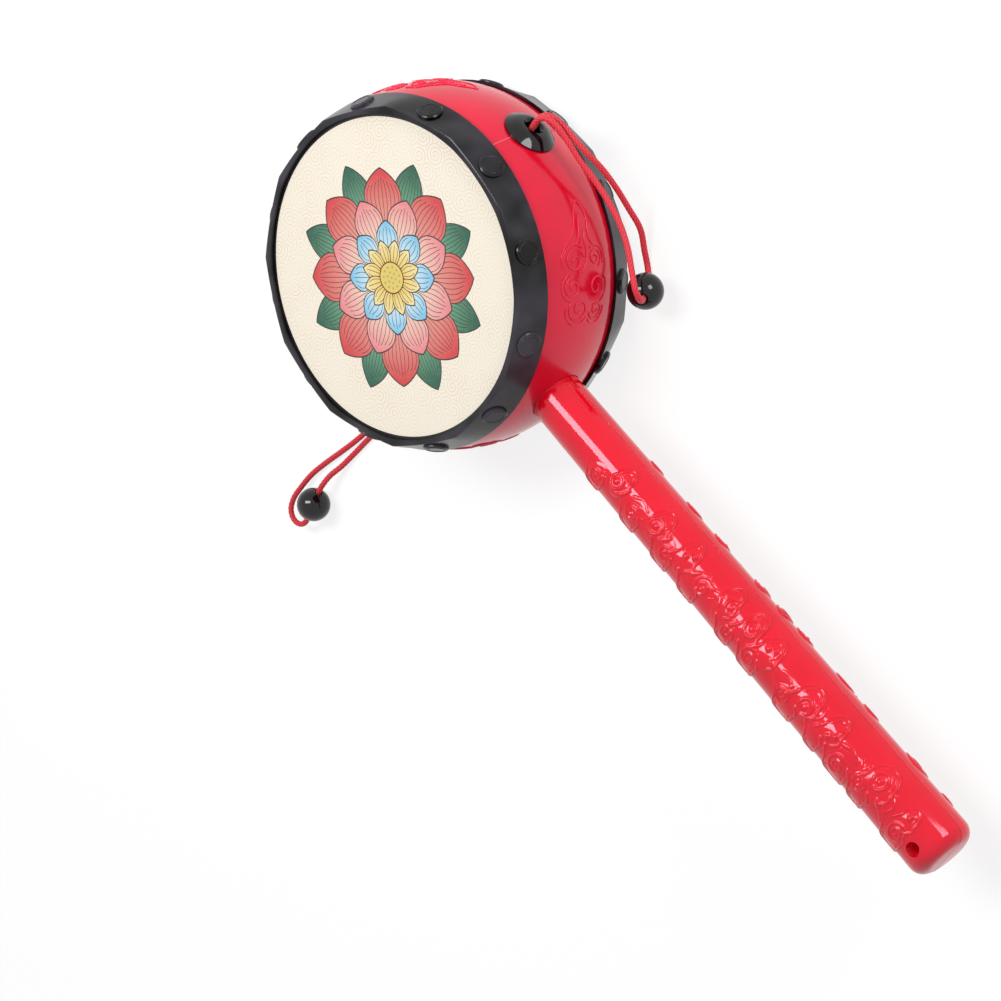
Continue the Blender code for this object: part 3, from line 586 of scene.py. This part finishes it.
def printed_ink(name, inner, outer, inner_mm, outer_mm):
    """Printed ink on the film: a shade that runs outwards from the rosette's middle, with a fine stipple.
    The border ink is not print: it is painted shadow under the rim's lip.
    """
    finish, tree = new_material(f"printed_{name}_ink")
    place = object_place(tree)
    arm = vector_computed(tree, "SUBTRACT", place, (DRUM.x, DRUM.y, 0.0))
    out = vector_computed(tree, "LENGTH", vector_computed(tree, "MULTIPLY", arm, (1.0, 1.0, 0.0)))
    stipple = noise(tree, place, STIPPLE_SIZE * MM, detail=3.0)
    loose = computed(tree, "MULTIPLY_ADD", stipple, STIPPLE_REACH * MM, out)
    ends = [(distance + STIPPLE_REACH / 2) * MM for distance in (inner_mm, outer_mm)]
    tint = colour_between(tree, ranged(tree, loose, *ends), inner, outer)
    return with_surface(finish, {"Base Color": tint, "Roughness": 0.42, "IOR": 1.45})


def smooth_shading():
    """A modifier's nodes that shade a solid smooth but for its sharp edges."""
    group = bpy.data.node_groups.new("smooth_but_for_edges", "GeometryNodeTree")
    for way in ("INPUT", "OUTPUT"):
        group.interface.new_socket("Geometry", in_out=way, socket_type="NodeSocketGeometry")
    given = add_node(group, "NodeGroupInput")
    merged = add_node(group, "GeometryNodeMergeByDistance", {
        "Geometry": given.outputs[0], "Distance": CORNER_MERGE})
    smooth = add_node(group, "GeometryNodeSetShadeSmooth", {"Geometry": merged.outputs[0]}, domain="FACE")
    angle = add_node(group, "GeometryNodeInputMeshEdgeAngle")
    sharp = add_node(group, "FunctionNodeCompare", {
        0: angle.outputs["Unsigned Angle"], 1: math.radians(SHARP_EDGE)}, operation="GREATER_THAN")
    edged = add_node(group, "GeometryNodeSetShadeSmooth", {
        "Geometry": smooth.outputs[0], "Selection": sharp.outputs[0], "Shade Smooth": False}, domain="EDGE")
    add_node(group, "NodeGroupOutput", {0: edged.outputs[0]})
    return group


def dress_node(name, finish, shading):
    mesh = NODES[name].data
    mesh.materials.clear()
    mesh.materials.append(finish)
    NODES[name].modifiers.new("smooth", "NODES").node_group = shading


# Rings of points

def unit(rows):
    return rows / np.linalg.norm(rows, axis=1)[:, None]


def ring_faces(rings, sides, closed=False):
    """Quads between rings of points and, unless the row of rings is closed, a face at each of its ends."""
    faces = []
    for i in range(rings if closed else rings - 1):
        here, after = i * sides, (i + 1) % rings * sides
        for j in range(sides):
            k = (j + 1) % sides
            faces.append((here + j, after + j, after + k, here + k))
    if not closed:
        faces.append(tuple(range(sides)))
        faces.append(tuple(reversed(range((rings - 1) * sides, rings * sides))))
    return faces


# Cords

def from_hinge(cord, out, along, up):
    return Vector((cord["side"] * (HINGE_OUT + out * MM), DRUM.y + along * MM, up * MM))


def strand_ends(cord, out):
    """The two strands of a cord at a distance out from the drum's axis, the ingoing one first."""
    tilt = math.radians(cord["pair_tilt"])
    offset = Vector((0.0, math.cos(tilt), math.sin(tilt))) * PAIR_OFFSET
    middle = Vector((cord["side"] * out, DRUM.y, DRUM.z))
    return middle + offset, middle - offset


def heading(points, i):
    """The curve's direction at a point: the shorter of its two sides counts for more."""
    if i in (0, len(points) - 1):
        return (points[min(i + 1, len(points) - 1)] - points[max(i - 1, 0)]).normalized()
    before, after = points[i] - points[i - 1], points[i + 1] - points[i]
    return (before.normalized() * after.length + after.normalized() * before.length).normalized()


def smooth_route(points, spacing):
    """Points at an even spacing on a smooth curve through the given points."""
    dense = []
    for i in range(len(points) - 1):
        here, there = points[i], points[i + 1]
        reach = (there - here).length / 3
        leave = here + heading(points, i) * reach
        arrive = there - heading(points, i + 1) * reach
        dense += interpolate_bezier(here, leave, arrive, there, CURVE_STEPS)[:-1]
    dense.append(points[-1])
    walked = np.concatenate([[0.0], np.cumsum([(b - a).length for a, b in zip(dense, dense[1:])])])
    count = max(2, round(walked[-1] / spacing))
    goals = np.linspace(0.0, walked[-1], count + 1)
    places = np.array(dense)
    return [Vector([np.interp(goal, walked, places[:, axis]) for axis in range(3)]) for goal in goals]


def cord_route(cord):
    """From inside the grommet along one strand, through the bead and back along the other strand."""
    low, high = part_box(f"{cord['name']}_bead")
    bead, bore = (low + high) / 2, cord["bore"].normalized()
    ends = [strand_ends(cord, out) for out in (GROMMET_OUT - CORD_INSIDE, HINGE_OUT, HINGE_OUT + CORD_LEAD)]
    leaving = [pair[0] for pair in ends]
    returning = [pair[1] for pair in reversed(ends)]
    inward = [from_hinge(cord, *point) for point in cord["in"]]
    outward = [from_hinge(cord, *point) for point in cord["out"]]
    through = [bead + bore * BORE_RUN * share for share in (1.0, 0.5, -0.5, -1.0)]
    return [*leaving, *inward, *through, *outward, *returning]


def braided_tube(name, route, finish):
    """A tube along the route whose surface has the over-and-under lay of a round braid."""
    places = np.array(route)
    ahead = unit(np.gradient(places, axis=0))
    side = np.cross(ahead[0], (0.0, 0.0, 1.0))
    side /= np.linalg.norm(side)
    walked = np.concatenate([[0.0], np.cumsum(np.linalg.norm(np.diff(places, axis=0), axis=1))])
    turns = np.arange(CORD_SIDES) * 2 * math.pi / CORD_SIDES
    lay = math.pi / (CORD_CARRIERS * BRAID_REPEAT)
    verts, crowns = [], []
    for i in range(len(route)):
        side = side - ahead[i] * (side @ ahead[i])
        side /= np.linalg.norm(side)
        up = np.cross(ahead[i], side)
        one_way = np.cos(CORD_CARRIERS * (turns - lay * walked[i]))
        other_way = np.cos(CORD_CARRIERS * (turns + lay * walked[i]))
        crown = np.sqrt(np.abs(one_way * other_way))
        crowns += list(crown)
        swell = CORD_RADIUS + BRAID_RELIEF * (crown - 0.5)
        ring = places[i] + np.outer(swell * np.cos(turns), side) + np.outer(swell * np.sin(turns), up)
        verts += list(ring)
    faces = [(face[0], *face[:0:-1]) for face in ring_faces(len(route), CORD_SIDES)]
    tube = add_piece(name, verts, faces, finish, None, "cord_red")
    tube.data.attributes.new("crown", "FLOAT", "POINT").data.foreach_set("value", crowns)
    return tube


def add_cord(cord, finish):
    name = cord["name"]
    route = smooth_route(cord_route(cord), CORD_STATION)
    tube = braided_tube(f"{name}_braided_cord", route, finish)
    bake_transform(tube)
    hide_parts(f"{name}_cord")


# Raised lines on the shell and the rims

def raised_line(points, normals, width, height, closed=False):
    """Verts and faces of a low half-round line whose middle lies on a surface."""
    places, normals = np.array(points), np.array(normals)
    if closed:
        ahead = np.roll(places, -1, axis=0) - np.roll(places, 1, axis=0)
    else:
        ahead = np.gradient(places, axis=0)
    across = np.cross(unit(ahead), normals)
    turns = np.arange(LINE_SIDES) * 2 * math.pi / LINE_SIDES
    rings = (places[:, None] + np.cos(turns)[:, None] * across[:, None] * width / 2
             + np.sin(turns)[:, None] * normals[:, None] * height)
    return rings.reshape(-1, 3), ring_faces(len(places), LINE_SIDES, closed)


def joined(shapes):
    """Several (verts, faces) as one."""
    verts, faces = [], []
    for more_verts, more_faces in shapes:
        start = sum(len(v) for v in verts)
        verts.append(np.array(more_verts))
        faces += [tuple(start + i for i in face) for face in more_faces]
    return np.concatenate(verts), faces


def shell_point(angle, height):
    """A point on the barrel, and its normal: an angle round the drum, a height from its middle."""
    drop = math.sqrt(SHELL_ARC ** 2 - height ** 2)
    radius = SHELL_RADIUS - SHELL_ARC + drop
    outward = Vector((math.cos(angle), math.sin(angle), 0.0))
    normal = (outward * drop + Vector((0.0, 0.0, height))) / SHELL_ARC
    return DRUM + outward * radius + Vector((0.0, 0.0, height)), normal


def line_on_shell(middle, side, flat_points):
    """A raised line through points given round and across the drum, in millimetres, from a middle angle."""
    flat = smooth_route([Vector((u, z, 0.0)) for u, z in flat_points], CLOUD_STATION / MM)
    laid = [shell_point(middle + side * p.x * MM / SHELL_RADIUS, p.y * MM) for p in flat]
    return raised_line(*zip(*laid), CLOUD_LINE_WIDTH, CLOUD_LINE_HEIGHT)


def curl_points(u, z, inner, outer, first, last):
    """A spiral's points, from its inner end to its outer one."""
    steps = max(CURL_LEAST_STEPS, int(abs(last - first) / CURL_STEP))
    points = []
    for i in range(steps + 1):
        share = i / steps
        angle = math.radians(first + (last - first) * share)
        radius = inner + (outer - inner) * share
        points.append((u + radius * math.cos(angle), z + radius * math.sin(angle)))
    return points


def cloud_curl(u, z, radius):
    """A cloud's curl, round its outer side and then inwards, and the arc that follows it outside."""
    outward = math.degrees(math.atan2(z - CLOUD_MIDDLE[1], u - CLOUD_MIDDLE[0]))
    curl = curl_points(u, z, CURL_EYE * radius, radius, outward + CURL_FROM, outward + CURL_TO)
    echo = curl_points(u, z, radius + ECHO_START * CURL_ECHO, radius + CURL_ECHO,
                       outward + ECHO_FROM, outward + ECHO_TO)
    return curl, echo


def add_shell_clouds(finish):
    """A cloud with curls and a tail in each quarter of the barrel, mirrored about the handle and the
    grommets. Each has its angle, and the way round that leads away from its grommet."""
    lines = [line for curl in CLOUD_CURLS for line in cloud_curl(*curl)] + list(CLOUD_TAIL)
    places = ((CLOUD_ANGLE, 1), (180.0 - CLOUD_ANGLE, -1), (CLOUD_ANGLE - 180.0, 1), (-CLOUD_ANGLE, -1))
    for number, (angle, way) in enumerate(places):
        shape = joined([line_on_shell(math.radians(angle), way, line) for line in lines])
        add_piece(f"shell_cloud_{number}", *shape, finish, "drum", "shell_red")


def add_shell_seams(finish):
    """The fine flash where the shell's halves meet, from each rim to the grommets. Its pale red is painted
    highlight.
    """
    for name, angle in (("right", 0.0), ("left", math.pi)):
        lines = []
        for way in (1, -1):
            low, high = GROMMET_RADIUS - SEAM_TUCK, SHELL_SHOWN_WIDTH / 2
            heights = [low + (high - low) * i / SEAM_STEPS for i in range(SEAM_STEPS + 1)]
            laid = [shell_point(angle, way * height) for height in heights]
            lines.append(raised_line(*zip(*laid), SEAM_WIDTH, SEAM_HEIGHT))
        add_piece(f"{name}_shell_seam", *joined(lines), finish, "drum", "shell_red")


def stud_place(angle, side):
    """Matrix with +Z square to a rim's wall at a stud's face."""
    share = (RIM_WALL_DEPTH + RIM_LIP_ROUND - STUD_INSET) / RIM_WALL_DEPTH
    radius = RIM_EDGE_RADIUS + (RIM_LIP_RADIUS - RIM_EDGE_RADIUS) * share
    lean = math.atan2(RIM_EDGE_RADIUS - RIM_LIP_RADIUS, RIM_WALL_DEPTH)
    out = Vector((math.cos(lean), 0.0, math.sin(lean)))
    foot = Vector((radius, 0.0, DRUM_HALF_DEPTH - STUD_INSET)) + out * STUD_HEIGHT
    place = Matrix.Translation(foot) @ Matrix.Rotation(math.pi / 2 - lean, 4, "Y")
    flip = Matrix.Rotation(math.pi, 4, "X") if side < 0 else Matrix.Identity(4)
    return Matrix.Translation(DRUM) @ flip @ Matrix.Rotation(angle, 4, "Z") @ place


def add_stud_rings(name, first_angle, side, finish):
    """A low ring on the face of each stud."""
    rings = []
    for i in range(RIM_SIDES):
        place = stud_place(math.radians(side * first_angle) + 2 * math.pi * i / RIM_SIDES, side)
        normal = place.to_3x3() @ Vector((0.0, 0.0, 1.0))
        turns = [2 * math.pi * k / ROUND_STEPS for k in range(ROUND_STEPS)]
        points = [place @ Vector((STUD_RING_RADIUS * math.cos(t), STUD_RING_RADIUS * math.sin(t), 0.0))
                  for t in turns]
        normals = [normal] * ROUND_STEPS
        rings.append(raised_line(points, normals, STUD_RING_WIDTH, STUD_RING_HEIGHT, closed=True))
    add_piece(name, *joined(rings), finish, "drum", "rim_black")


# Relief on the handle

def handle_radius(out):
    share = (out - SHELL_RADIUS) / (HANDLE_REACH - SHELL_RADIUS)
    return HANDLE_NECK_RADIUS + (HANDLE_END_RADIUS - HANDLE_NECK_RADIUS) * share


def ridge(grid, points, width, height):
    """A half-round ridge along a line of points, as heights on the grid."""
    along, across = grid
    nearest = np.full(along.shape, np.inf)
    for (s0, w0), (s1, w1) in zip(points, points[1:]):
        length = (s1 - s0) ** 2 + (w1 - w0) ** 2
        share = np.clip(((along - s0) * (s1 - s0) + (across - w0) * (w1 - w0)) / length, 0.0, 1.0)
        gap = np.hypot(along - s0 - share * (s1 - s0), across - w0 - share * (w1 - w0))
        nearest = np.minimum(nearest, gap)
    return height * np.sqrt(np.clip(1 - (2 * nearest / width) ** 2, 0.0, 1.0))


def cushion(grid, s, w, reach_s, reach_w, height):
    """A low rounded swelling, as heights on the grid."""
    along, across = grid
    inside = 1 - ((along - s) / reach_s) ** 2 - ((across - w) / reach_w) ** 2
    return height * np.sqrt(np.clip(inside, 0.0, 1.0))


def ellipse_arc(s, w, reach_s, reach_w, first, last):
    angles = np.radians(np.linspace(first, last, ARCH_STEPS))
    return list(zip(s + reach_s * np.cos(angles), w + reach_w * np.sin(angles)))


def bent_line(points):
    """A smooth line through points along and round the handle."""
    return [(p.x, p.y) for p in smooth_route([Vector((s, w, 0.0)) for s, w in points], BENT_STEP)]


def add_lobe(grid, root, lobe, swells, lines):
    """A cloud's lobe: a double arch that springs from a root line, on two bent stems."""
    start, end, top = lobe
    middle, half, reach = (start + end) / 2, (end - start) / 2, top - root
    inward = -math.copysign(1.0, reach)
    stems = [*[(start + s, root + w * inward) for s, w in STEMS_BEFORE],
             *ellipse_arc(middle, root, half, reach, 180.0, 0.0),
             *[(end + s, root + w * inward) for s, w in STEMS_AFTER]]
    inset, top_inset = INNER_ARCH_INSET
    inner = ellipse_arc(middle, root, half - inset, reach + top_inset * inward, *INNER_ARCH)
    margin, top_margin = LOBE_MARGIN
    spread = (half + margin, abs(reach) + top_margin)
    swells.append(cushion(grid, middle, root + inward, *spread, LOBE_SWELL))
    lines.append(ridge(grid, bent_line(stems), *LOBE_RIDGE))
    lines.append(ridge(grid, inner, *INNER_RIDGE))


def relief_heights(grid):
    """A chain of cloud scrolls with lobes on both sides, rings, pearls and crescents, in millimetres."""
    plain = np.zeros(grid[0].shape)
    swells, lines = [plain], [plain]
    for root, lobes in ((RIGHT_ROOT, RIGHT_LOBES), (LEFT_ROOT, LEFT_LOBES)):
        for lobe in lobes:
            add_lobe(grid, root, lobe, swells, lines)
    for s, w in RINGS:
        ring = ellipse_arc(s, w, RING_RADIUS, RING_RADIUS, 0.0, 360.0)
        lines.append(ridge(grid, ring, *RING_RIDGE))
        lines.append(cushion(grid, s, w, RING_EYE, RING_EYE, RING_EYE_HEIGHT))
    for s, w in PEARLS:
        lines.append(cushion(grid, s, w, PEARL_RADIUS, PEARL_RADIUS, PEARL_HEIGHT))
    for number, (s, w, reach) in enumerate(SCROLLS):
        way = 1 if number % 2 else -1
        spread = reach + SCROLL_MARGIN
        spiral = curl_points(s, w, SCROLL_EYE, reach, SCROLL_FROM + way * SCROLL_TURN, SCROLL_FROM)
        swells.append(cushion(grid, s, w, spread, spread, SCROLL_SWELL))
        lines.append(ridge(grid, spiral, *SCROLL_RIDGE))
    for crescent in CRESCENTS:
        lines.append(ridge(grid, bent_line(crescent), *CRESCENT_RIDGE))
    return np.max(swells, axis=0) + np.max(lines, axis=0)


def handle_skin(along, across, height, face):
    """Points round the handle's front or back, at heights over its surface, all in millimetres."""
    radius = handle_radius(along * MM) + height * MM
    turn = across / RELIEF_ROUND
    x = DRUM.x + radius * np.sin(turn)
    z = DRUM.z + face * radius * np.cos(turn)
    return np.stack([x, DRUM.y - along * MM, z], axis=-1).reshape(-1, 3)


def skin_faces(rows, cols, marks):
    """Faces of a skin: its top, an underside with rows at the marks only, and the walls round it."""
    def top(i, j):
        return i * cols + j

    def low(k, j):
        return (rows + k) * cols + j

    last, end = cols - 1, len(marks) - 1
    faces = [(top(i, j), top(i, j + 1), top(i + 1, j + 1), top(i + 1, j))
             for i in range(rows - 1) for j in range(last)]
    for k in range(end):
        faces += [(low(k, j + 1), low(k, j), low(k + 1, j), low(k + 1, j + 1)) for j in range(last)]
        stretch = range(marks[k], marks[k + 1] + 1)
        faces.append((*[top(i, 0) for i in stretch], low(k + 1, 0), low(k, 0)))
        faces.append((*[top(i, last) for i in reversed(stretch)], low(k, last), low(k + 1, last)))
    for j in range(last):
        faces.append((top(0, j + 1), top(0, j), low(0, j), low(0, j + 1)))
        faces.append((top(rows - 1, j), top(rows - 1, j + 1), low(end, j + 1), low(end, j)))
    return faces


def add_handle_relief(name, face, finish):
    """The raised scrolls on the handle's front, or their mirror image on its back, as a skin whose border
    lies just under the handle's surface."""
    rows = int((RELIEF_END - RELIEF_START) / RELIEF_STEP)
    cols = int(2 * RELIEF_HALF_WIDTH / RELIEF_STEP)
    along, across = np.meshgrid(np.linspace(RELIEF_START, RELIEF_END, rows),
                                np.linspace(-RELIEF_HALF_WIDTH, RELIEF_HALF_WIDTH, cols), indexing="ij")
    ends = np.minimum(along - RELIEF_START, RELIEF_END - along)
    border = np.minimum(RELIEF_HALF_WIDTH - np.abs(across), ends)
    height = np.minimum(relief_heights((along, across)), border) - RELIEF_SINK
    marks = [*range(0, rows - 1, RELIEF_BLOCK), rows - 1]
    verts = np.concatenate([handle_skin(along, across, height, face),
                            handle_skin(along[marks], across[marks], -RELIEF_DEPTH, face)])
    faces = skin_faces(rows, cols, marks)
    if face > 0:
        faces = [corners[::-1] for corners in faces]
    add_piece(name, verts, faces, finish, "drum", "handle_red")


def add_handle_seam(finish):
    """The fine flash where the handle's halves meet, down one side, round its end and up the other."""
    corner = (HANDLE_END_RADIUS - HANDLE_END_ROUND, HANDLE_REACH - HANDLE_END_ROUND)
    side = [(handle_radius(out), out) for out in np.linspace(SHELL_RADIUS, corner[1], HANDLE_SEAM_STATIONS)]
    turns = np.radians(np.linspace(0.0, 90.0, HANDLE_SEAM_BENDS))
    bend = [(corner[0] + HANDLE_END_ROUND * math.cos(t), corner[1] + HANDLE_END_ROUND * math.sin(t))
            for t in turns]
    half = side[:-1] + bend
    outline = np.array(half + [(-across, out) for across, out in reversed(half)])
    ahead = np.gradient(outline, axis=0)
    normals = [Vector((step[1], step[0], 0.0)).normalized() for step in ahead]
    points = [DRUM + Vector((across, -out, 0.0)) for across, out in outline]
    shape = raised_line(points, normals, HANDLE_SEAM_WIDTH, HANDLE_SEAM_HEIGHT)
    add_piece("handle_seam", *shape, finish, "drum", "handle_red")


def add_hole_sleeves(finish):
    """The moulded sleeve round the lanyard hole, inside each half of the handle."""
    foot = DRUM + Vector((0.0, HOLE_INSET - HANDLE_REACH, 0.0))
    low, high = SLEEVE_FOOT, handle_radius(HANDLE_REACH - HOLE_INSET) - SLEEVE_SINK
    outside = HOLE_RADIUS + HOLE_WALL
    section = ((HOLE_RADIUS, low), (outside, low), (outside, high), (HOLE_RADIUS, high))
    faces = ring_faces(ROUND_STEPS, len(section), closed=True)
    sleeves = []
    for face in (1, -1):
        verts = []
        for i in range(ROUND_STEPS):
            turn = 2 * math.pi * i / ROUND_STEPS
            verts += [foot + Vector((r * math.cos(turn), r * math.sin(turn), face * z)) for r, z in section]
        sleeves.append((verts, [corners[::face] for corners in faces]))
    add_piece("lanyard_hole_sleeves", *joined(sleeves), finish, "drum", "handle_red")


# Printed heads

def petal(root, tip, width, fullness):
    """A petal's outline along +X, counter-clockwise. More fullness puts its widest place nearer the tip."""
    shares = np.linspace(0.0, 1.0, PETAL_STEPS)
    along = root + (tip - root) * shares
    half = width / 2 * np.sin(math.pi * shares ** fullness) ** PETAL_BLUNTNESS
    lower = list(zip(along, -half))
    upper = list(zip(along[1:-1], half[1:-1]))
    return lower + upper[::-1]


def disc(x, radius, steps):
    """A circle's outline, counter-clockwise, with its middle on the X axis."""
    turns = [2 * math.pi * i / steps for i in range(steps)]
    return [(x + radius * math.cos(t), radius * math.sin(t)) for t in turns]


def stroke(places, width):
    """A thin line's outline, counter-clockwise."""
    ahead = unit(np.gradient(places, axis=0))
    side = np.stack([-ahead[:, 1], ahead[:, 0]], axis=-1) * width / 2
    return [tuple(p) for p in places - side] + [tuple(p) for p in (places + side)[::-1]]


def turned(outline, degrees):
    turn = math.radians(degrees)
    along, across = math.cos(turn), math.sin(turn)
    return [(x * along - y * across, x * across + y * along) for x, y in outline]


def inked_petal(root, tip, width, fullness, ink):
    """A petal with a dark outline under it."""
    under = petal(root - OUTLINE, tip + OUTLINE * OUTLINE_AT_TIP, width + 2 * OUTLINE, fullness)
    return [(under, "dark"), (petal(root, tip, width, fullness), ink)]


def veins(root, tip, width, count):
    """Fine dark lines that fan out along a petal."""
    lines = []
    for i in range(count):
        lean = (i - (count - 1) / 2) / count
        shares = np.linspace(VEIN_START, VEIN_END - VEIN_SHORTENING * abs(lean), VEIN_STEPS)
        along = root + (tip - root) * shares
        across = lean * width * np.sin(math.pi * shares ** VEIN_FULLNESS)
        lines.append((stroke(np.stack([along, across], axis=-1), VEIN_WIDTH), "dark"))
    return lines


def rosette():
    """The print: rings of leaves and petals round a seed head, as (outline, ink), lowest first."""
    shapes = []
    for count, first, root, tip, width, fullness, ink, lines in PETAL_RINGS:
        one = inked_petal(root, tip, width, fullness, ink) + veins(root, tip, width, lines)
        for i in range(count):
            angle = first + 360.0 / count * i
            shapes += [(turned(outline, angle), colour) for outline, colour in one]
    shapes.append((disc(0.0, SEED_HEAD_OUTLINE, SEED_HEAD_STEPS), "dark"))
    shapes.append((disc(0.0, SEED_HEAD, SEED_HEAD_STEPS), "straw"))
    for radius, count in SEED_RINGS:
        seed = disc(radius, SEED_RADIUS, SEED_STEPS)
        shapes += [(turned(seed, 360.0 / count * i), "green") for i in range(count)]
    return shapes


def add_head(name, node, side, inks):
    """A film head whose outer face is split along the print's outlines, and along the ring of painted shadow
    at its edge.
    """
    low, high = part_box(node)
    face, back = (high.z, low.z) if side > 0 else (low.z, high.z)
    edge = disc(0.0, HEAD_RADIUS / MM, HEAD_STEPS)
    # the border ring is painted shadow under the rim's lip, and the film lies inside it
    shapes = [(edge, "border"), (disc(0.0, LIP_SHADOW_RADIUS, HEAD_STEPS), "film")] + rosette()
    flat, outlines = [], []
    for outline, _ in shapes:
        outlines.append(list(range(len(flat), len(flat) + len(outline))))
        flat += [Vector(point) for point in outline]
    places, _, triangles, _, _, sources = delaunay_2d_cdt(flat, [], outlines, INSIDE_ONLY, HEAD_MERGE, True)
    names = list(inks)
    verts = [Vector((DRUM.x + p.x * MM, DRUM.y + side * p.y * MM, face)) for p in places]
    faces = [tuple(t) for t in triangles]
    paints = [names.index(shapes[max(source)][1]) for source in sources]
    rim = [min(range(len(places)), key=lambda i: (places[i] - Vector(point)).length) for point in edge]
    start = len(verts)
    verts += [Vector((verts[i].x, verts[i].y, back)) for i in rim]
    for i in range(HEAD_STEPS):
        k = (i + 1) % HEAD_STEPS
        faces.append((rim[k], rim[i], start + i, start + k))
    faces.append(tuple(start + i for i in reversed(range(HEAD_STEPS))))
    paints += [names.index("film")] * (HEAD_STEPS + 1)
    head = add_piece(name, verts, faces, list(inks.values()), "drum", "head_cream")
    head.data.polygons.foreach_set("material_index", paints)
    head.data.polygons.foreach_set("use_smooth", [False] * len(faces))
    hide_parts(node)


def head_inks():
    """The film, and each ink by its name."""
    return {"film": cream_film(), **{name: printed_ink(name, *ink) for name, ink in INKS.items()}}


bpy.context.scene.view_settings.view_transform = "Standard"
add_camera()
cord_finish = braided_polyester()
for cord in (LEFT, RIGHT):
    add_cord(cord, cord_finish)
add_floor()
add_light()
SHADING = smooth_shading()
shell_finish = shell_plastic()
cloud_finish = cloud_plastic()
handle_finish = handle_plastic()
rim_finish = rim_plastic()
gloss_finish = polished_plastic()
FINISHES = {"shell": shell_finish, "handle": handle_finish, "rim": rim_finish, "knot": cord_finish}
inks = head_inks()
for name in NODES:
    if name.endswith(("_cord", "_head")):
        continue
    kind = next((key for key in FINISHES if key in name.split("_")), None)
    dress_node(name, FINISHES.get(kind, gloss_finish), SHADING)
add_head("front_head_print", "front_head", 1, inks)
add_head("back_head_print", "back_head", -1, inks)
add_shell_clouds(cloud_finish)
add_shell_seams(seam_highlight_plastic())
add_handle_seam(handle_finish)
add_hole_sleeves(handle_finish)
add_stud_rings("front_stud_rings", FRONT_STUD_ANGLE, 1, rim_finish)
add_stud_rings("back_stud_rings", BACK_STUD_ANGLE, -1, rim_finish)
add_handle_relief("handle_front_scrolls", 1, handle_finish)
add_handle_relief("handle_back_scrolls", -1, handle_finish)
